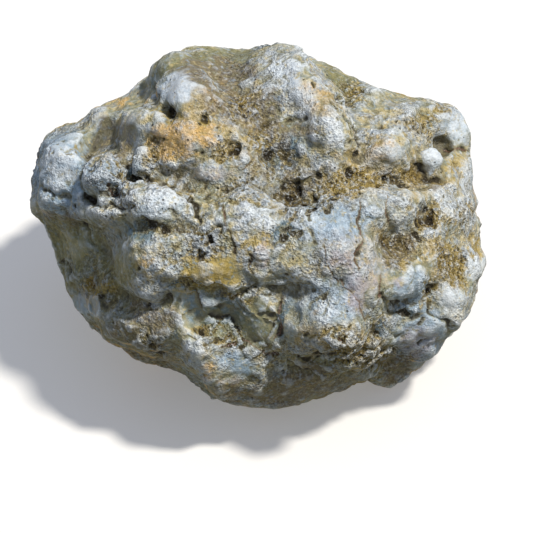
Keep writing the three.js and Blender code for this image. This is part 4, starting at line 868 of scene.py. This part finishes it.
# Builds the relief's tree: geometry and material in, and the moved geometry out.
def makeRelief():
    tree = bpy.data.node_groups.new("crustRelief", "GeometryNodeTree")
    tree.interface.new_socket("Geometry", in_out="INPUT", socket_type="NodeSocketGeometry")
    for name, value in crustRelief.items():
        socket = tree.interface.new_socket(name, in_out="INPUT", socket_type="NodeSocketFloat")
        socket.default_value = value
    tree.interface.new_socket("Material", in_out="INPUT", socket_type="NodeSocketMaterial")
    tree.interface.new_socket("Geometry", in_out="OUTPUT", socket_type="NodeSocketGeometry")
    given = add(tree, "NodeGroupInput").outputs
    place = add(tree, "GeometryNodeInputPosition")
    inMm = add(tree, "vector scale", {0: place, 3: 1 / mm})
    mask = {
        name: add(tree, "GeometryNodeInputNamedAttribute", [name], data_type="FLOAT")
        for name in ("calm", "coarse", "broken", "resting")
    }
    often = {  # how many of each pattern fit in a millimetre
        name: add(tree, "divide", [1, given[name]])
        for name in crustRelief
        if name.endswith(("Size", "Spacing"))
    }
    wander = {"Vector": inMm, "W": given["Seed"], "Scale": often["Stray Size"], "Detail": 2}
    noise = add(tree, "noise", wander)
    centred = add(tree, "vector subtract", [noise.outputs["Color"], [0.5] * 3])
    stray = add(tree, "vector scale", {0: centred, 3: given["Stray"]})
    strayed = add(tree, "vector add", [inMm, stray])

    broad, fine = drawNoises(tree, given, often, mask, inMm)
    broad, fine = drawKnobs(tree, given, often, mask, strayed, broad, fine)
    broad = add(tree, "multiply add", [drawChips(tree, given, often, inMm), mask["broken"], broad])
    fine = add(tree, "subtract", [fine, drawPits(tree, given, often, mask, strayed)])

    # the whole relief along the normal, with the flat spot left free
    loose = add(tree, "multiply add", [mask["calm"], given["Calm Crust"], 1])
    total = add(tree, "multiply add", [fine, loose, broad])
    free = add(tree, "multiply", [mm, mask["resting"]])
    free = add(tree, "subtract", [mm, free])
    total = add(tree, "multiply", [total, free])
    normal = add(tree, "GeometryNodeInputNormal")
    offset = add(tree, "vector scale", {0: normal, 3: total})
    moved = add(tree, "GeometryNodeSetPosition", {"Geometry": given["Geometry"], "Offset": offset})
    real = add(tree, "GeometryNodeRealizeInstances", [moved])
    painted = add(tree, "GeometryNodeSetMaterial", {"Geometry": real, "Material": given["Material"]})
    add(tree, "NodeGroupOutput", [painted])
    return tree


def roughen(piece, material):
    relief = piece.modifiers.new("crust relief", "NODES")
    relief.node_group = makeRelief()
    for item in relief.node_group.interface.items_tree:
        if item.in_out == "INPUT" and item.name in crustRelief:
            relief[item.identifier] = float(crustRelief[item.name])
        elif item.in_out == "INPUT" and item.name == "Material":
            relief[item.identifier] = material
    return freeze(piece)


# Writes the hollowness at two sizes: how far, in mm, each point lies under the smoothed surface.
def measureHollows(piece):
    mesh = piece.data
    edges = edgesOf(mesh)
    points = readPoints(mesh)
    points[:, 2] = np.maximum(points[:, 2], 0)
    normals = movePoints(mesh, points)
    smoothed = points
    for name, rounds in zip(("fineHollow", "broadHollow"), body["detailRounds"]):
        smoothed = relaxed(smoothed, edges, rounds)
        writeMask(mesh, name, ((smoothed - points) * normals).sum(1))


# Brings the mesh down to its number of triangles, and says how many it had.
def thinOut(piece):
    triangles = sum(len(face.vertices) - 2 for face in piece.data.polygons)
    thin = piece.modifiers.new("thin", "DECIMATE")
    thin.ratio = min(1, body["triangles"] / triangles)
    freeze(piece)
    points = readPoints(piece.data)
    points[:, 2] = np.maximum(points[:, 2], 0)
    movePoints(piece.data, points)
    piece.data.polygons.foreach_set("use_smooth", np.ones(len(piece.data.polygons), bool))
    return triangles


# Chalcedony, a quartz too fine to show its crystals (IOR 1.54), with the dull crust that weather gives it:
# chalky pale tops, partly a painted highlight, a waxy sheen on the smooth spots, iron and clay stains that
# settle in the pits and creases, and painted shade darkening hollows, pits and faces turned from the sun.
chalcedony = {
    "pale": "#bec8d1", "grey": "#969a84", "cream": "#d2c08a", "clean": "#e9eff2", "earth": "#867e54",
    "dust": "#8e8864", "tan": "#bda56e", "blue": "#a0b9ce", "ochre": "#b69b4a", "orange": "#e4b767",
    "brownAndShade": "#77664a", "oliveAndShade": "#7d7a49", "slateAndShade": "#5b7a8a", "mauve": "#bfadb1", "darkSoilAndShade": "#33290f",
    "rust": "#80604a",
    "cloudSize": 10, "mottleSize": 3.2, "blotchSize": 1.8, "grainSize": 1.6, "fleckSize": 0.75,  # mm
    "laceSize": 2.6, "pinSpacing": 1.7,  # mm
    "grit": 0.31, "fleckShade": 2.5, "fleckShare": 0.2, "laceShade": 0.18, "pinShare": 0.75,
    "roughness": 0.82, "waxyRoughness": 0.5, "ior": 1.54,
    "bump": 1.2,  # mm
}
paint = {name: toLinear(value) for name, value in chalcedony.items() if str(value).startswith("#")}
# How much detail each pattern of noise has, and how rough it is.
patterns = {
    "cloud": (2, 0.5), "mottle": (4, 0.6), "blotch": (3, 0.75), "grain": (4, 0.78), "fleck": (1.5, 0.7),
}
# The stone's own colours, in the order that they are laid: colour, pattern, the two ends between which it
# comes in, and the most that it covers. The blotches lie over the stains.
mottles = [
    ["pale", "cloud", 0.38, 0.6, 1], ["cream", "mottle", 0.42, 0.64, 0.92],
    ["earth", "mottle", 0.5, 0.34, 0.7],
]
blotches = [["cream", "blotch", 0.53, 0.68, 0.5], ["blue", "blotch", 0.47, 0.32, 0.5]]
# Each stain's edge is broken up by one of the patterns: pattern, how much, and the most that it covers.
stainEdges = {
    "tan": ["mottle", 1.6, 0.85], "blue": ["mottle", 1.6, 0.8], "mauve": ["mottle", 1, 0.6],
    "clean": ["mottle", 1.2, 0.85], "slateAndShade": ["mottle", 0.9, 0.85], "oliveAndShade": ["mottle", 1.2, 0.8],
    "brownAndShade": ["mottle", 1.4, 0.75], "orange": ["mottle", 1.6, 0.88], "ochre": ["blotch", 3.2, 0.78],
}
stainComesIn = [0.25, 0.85]  # the strengths between which a stain comes in
paleStains = ("blue", "mauve", "clean")  # these still wear white
# What wear, dirt, painted highlight and painted shade cover, by mm under (+) or over (-) the smoothed
# surface: the two ends and the most. The crests' white is worn white and painted highlight on lit tops; the
# soil colour in the deepest spots and the valleys' brown in broad hollows are painted shade.
wear = {
    "tops": [-0.02, -0.26], "wornAndLitCrests": [-0.15, -1.1],
    "white": 0.6, "whiteOnStains": -0.25, "whiteOnCrests": 0.9,
    "dirt": [0, 0.18, 0.7], "darkSoilAndShade": [0.12, 0.45, 0.85], "valleys": [0.1, 1.6, 0.6],
    "hollows": 1.25, "mottles": 0.2, "ochreDirt": 1.5,
}
# How much grain a spot has: from the clouds, then more where it is coarse and less where it is calm.
grittiness = {"clouds": [0.35, 0.65, 0.35, 0.85], "coarse": 1.1, "calm": -0.5, "least": 0.2}
# Pinholes, the stain beside hairline cracks, flecks of both kinds, and how much each lifts or sinks the bump.
specks = {
    "pinSizes": -0.2, "pinsShown": 0.4, "pinEdge": [0.05, -0.04],
    "crackUneven": 0.9, "crackEdge": [0.22, 0.06], "crackMost": 0.7,
    "clean": [0.55, 0.63], "darkSoilAndShade": [0.45, 0.37],
    "lift": {"fleck": 1.4, "lace": 0.16}, "pinLift": -0.5,
}


# A layer of colour over another, which comes in between two ends of a value.
def cover(tree, under, over, value, low, high, most=1, **settings):
    share = add(tree, "smooth range", [value, low, high, 0, most])
    return add(tree, "mix", {0: share, 6: under, 7: over}, **settings)


# The patterns, each as it is and less its middle, and the curls of lace in the grain.
def drawPatterns(tree, place):
    pattern, varied = {}, {}
    for seed, (name, (detail, roughness)) in enumerate(patterns.items()):
        scale = 1 / (chalcedony[name + "Size"] * mm)
        noise = {"Vector": place, "W": seed, "Scale": scale, "Detail": detail, "Roughness": roughness}
        pattern[name] = add(tree, "noise", noise)
        varied[name] = add(tree, "subtract", [pattern[name], 0.5])
    scale = 1 / (chalcedony["laceSize"] * mm)
    curls = {"Vector": place, "W": 9, "Scale": scale, "Detail": 2, "Offset": 1, "Gain": 1}
    lace = add(tree, "noise", curls, noise_type="RIDGED_MULTIFRACTAL")
    varied["lace"] = add(tree, "subtract", [lace, 1])
    return pattern, varied


# The clean stone, bluish white to grey with cream and earthy mottles, and its stains; the brown, olive and
# slate stains also hold painted shade and painted shadow.
def stainStone(tree, pattern, varied, mask):
    colour = paint["grey"]
    for name, drawn, low, high, most in mottles:
        colour = cover(tree, colour, paint[name], pattern[drawn], low, high, most)
    mask["tinted"] = 0
    for name, (edge, ragged, most) in stainEdges.items():
        spread = add(tree, "multiply add", [varied[edge], ragged, mask[name]])
        colour = cover(tree, colour, paint[name], spread, *stainComesIn, most)
        if name not in paleStains:
            mask["tinted"] = add(tree, "maximum", [mask[name], mask["tinted"]])
    for name, drawn, low, high, most in blotches:
        colour = cover(tree, colour, paint[name], pattern[drawn], low, high, most)
    return colour


# Tops are worn white, and broad crests whiter still as worn white and painted highlight; hollows hold earth,
# the deepest spots are painted dark as shade, and broad hollows are darkened as painted shade.
def wearStone(tree, colour, varied, mask):
    depth = add(tree, "multiply", [mask["fineHollow"], wear["hollows"]])
    depth = add(tree, "multiply add", [mask["grit"], -chalcedony["grit"], depth])
    depth = add(tree, "multiply add", [varied["mottle"], wear["mottles"], depth])
    most = add(tree, "multiply add", [mask["tinted"], wear["whiteOnStains"], wear["white"]])
    colour = cover(tree, colour, paint["clean"], depth, *wear["tops"], most)
    # the broad crests whitened: worn white, and painted highlight where the light falls on the tops
    most = add(tree, "multiply", [most, wear["whiteOnCrests"]])
    colour = cover(tree, colour, paint["clean"], mask["broadHollow"], *wear["wornAndLitCrests"], most)
    share = add(tree, "maximum", [mask["ochre"], mask["coarse"]])
    share = add(tree, "multiply add", [varied["cloud"], wear["ochreDirt"], share])
    dirt = add(tree, "mix", {0: share, 6: paint["dust"], 7: paint["ochre"]})
    colour = cover(tree, colour, dirt, depth, *wear["dirt"])
    # the dark soil colour where the surface lies deepest: painted shade in the pits and creases
    colour = cover(tree, colour, paint["darkSoilAndShade"], depth, *wear["darkSoilAndShade"])
    # broad hollows darkened by multiplying with brown: painted shade
    return cover(tree, colour, paint["brownAndShade"], mask["broadHollow"], *wear["valleys"], blend_type="MULTIPLY")


# Pinholes, painted dark as the shade inside them, hairline cracks and flecks. Real flecks are finer than a
# tenth of these, and would not show.
def speckStone(tree, colour, place, pattern, varied, mask):
    gritty = mask["gritty"]
    scale = 1 / (chalcedony["pinSpacing"] * mm)
    pins = add(tree, "ShaderNodeTexVoronoi", {"Vector": place, "Scale": scale})
    chance = add(tree, "ShaderNodeSeparateColor", [pins.outputs["Color"]])
    edge = add(tree, "multiply add", [chance, specks["pinSizes"], pins])
    often = add(tree, "multiply", [gritty, specks["pinsShown"]])
    shown = add(tree, "less than", [chance.outputs[1], often])
    mask["pin"] = add(tree, "smooth range", [edge, *specks["pinEdge"], 0, shown])
    # pinholes painted dark with the soil colour: the shade inside them, painted
    share = add(tree, "multiply", [mask["pin"], chalcedony["pinShare"]])
    colour = add(tree, "mix", {0: share, 6: colour, 7: paint["darkSoilAndShade"]})

    beside = add(tree, "multiply add", [varied["blotch"], specks["crackUneven"], mask["crackSide"]])
    beside = add(tree, "absolute", [beside])
    share = add(tree, "smooth range", [beside, *specks["crackEdge"], 0, specks["crackMost"]])
    share = add(tree, "multiply", [share, mask["cracked"]])
    colour = add(tree, "mix", {0: share, 6: colour, 7: paint["rust"]})

    most = add(tree, "multiply", [gritty, chalcedony["fleckShare"]])
    for name in ("clean", "darkSoilAndShade"):
        colour = cover(tree, colour, paint[name], pattern["fleck"], *specks[name], most)
    fleck = add(tree, "multiply add", [varied["fleck"], chalcedony["fleckShade"], 1])
    fleck = add(tree, "multiply add", [varied["lace"], chalcedony["laceShade"], fleck])
    shade = add(tree, "ShaderNodeCombineColor", [fleck, fleck, fleck])
    return add(tree, "mix", {0: gritty, 6: colour, 7: shade}, blend_type="MULTIPLY")


# The finest relief, of flecks, curls and pinholes over the grit.
def bumpStone(tree, varied, mask):
    height = mask["grit"]
    for name, lift in specks["lift"].items():
        speck = add(tree, "multiply", [varied[name], mask["gritty"]])
        height = add(tree, "multiply add", [speck, lift, height])
    height = add(tree, "multiply add", [mask["pin"], specks["pinLift"], height])
    relief = {"Strength": 1, "Distance": chalcedony["bump"] * mm, "Height": height}
    return add(tree, "ShaderNodeBump", relief)


def makeChalcedony():
    material = bpy.data.materials.new("weatheredChalcedony")
    material.use_nodes = True
    tree = material.node_tree
    tree.nodes.clear()
    place = add(tree, "ShaderNodeTexCoord").outputs["Object"]
    pattern, varied = drawPatterns(tree, place)
    mask = {
        name: add(tree, "ShaderNodeAttribute", attribute_name=name).outputs["Fac"]
        for name in ("calm", "coarse", "cracked", "crackSide", "fineHollow", "broadHollow", *stains)
    }
    gritty = add(tree, "ShaderNodeMapRange", [pattern["cloud"], *grittiness["clouds"]])
    for name in ("coarse", "calm"):
        gritty = add(tree, "multiply add", [mask[name], grittiness[name], gritty])
    mask["gritty"] = add(tree, "maximum", [gritty, grittiness["least"]])
    mask["grit"] = add(tree, "multiply", [varied["grain"], mask["gritty"]])

    colour = stainStone(tree, pattern, varied, mask)
    colour = wearStone(tree, colour, varied, mask)
    colour = speckStone(tree, colour, place, pattern, varied, mask)
    bump = bumpStone(tree, varied, mask)
    waxier = chalcedony["waxyRoughness"] - chalcedony["roughness"]
    sheen = add(tree, "multiply add", [mask["calm"], waxier, chalcedony["roughness"]])
    surface = {"Base Color": colour, "Roughness": sheen, "IOR": chalcedony["ior"], "Normal": bump}
    shader = add(tree, "ShaderNodeBsdfPrincipled", surface)
    add(tree, "ShaderNodeOutputMaterial", [shader])
    return material


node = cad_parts["geode"]
cadPoints = readPoints(node.data)
inFace = cadPoints @ faceAxes.T
seenMiddle = np.array([*((inFace[:, :2].min(0) + inFace[:, :2].max(0)) / 2), 0]) @ faceAxes
boxMiddle = (cadPoints.min(0) + cadPoints.max(0)) / 2
seenMiddle += faceAxes[2] * (boxMiddle @ faceAxes[2])

makeCamera(seenMiddle)
makeLight()
makeFloor()
print("camera, light and floor are set")

nodule = makeEvenMesh(node)
print("even mesh:", len(nodule.data.vertices), "points")
sculpt(nodule, seenMiddle)
evenOut(nodule)
print("swells, lumps, hollows, fractures and steps are shaped")
cutAndPaint(nodule, seenMiddle)
print("creases and pits are cut, and stains placed")
roughen(nodule, makeChalcedony())
measureHollows(nodule)
print("crust relief is on")
before = thinOut(nodule)
print("thinned from", before, "to", len(nodule.data.polygons), "triangles")

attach(nodule, "root")
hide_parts("geode")
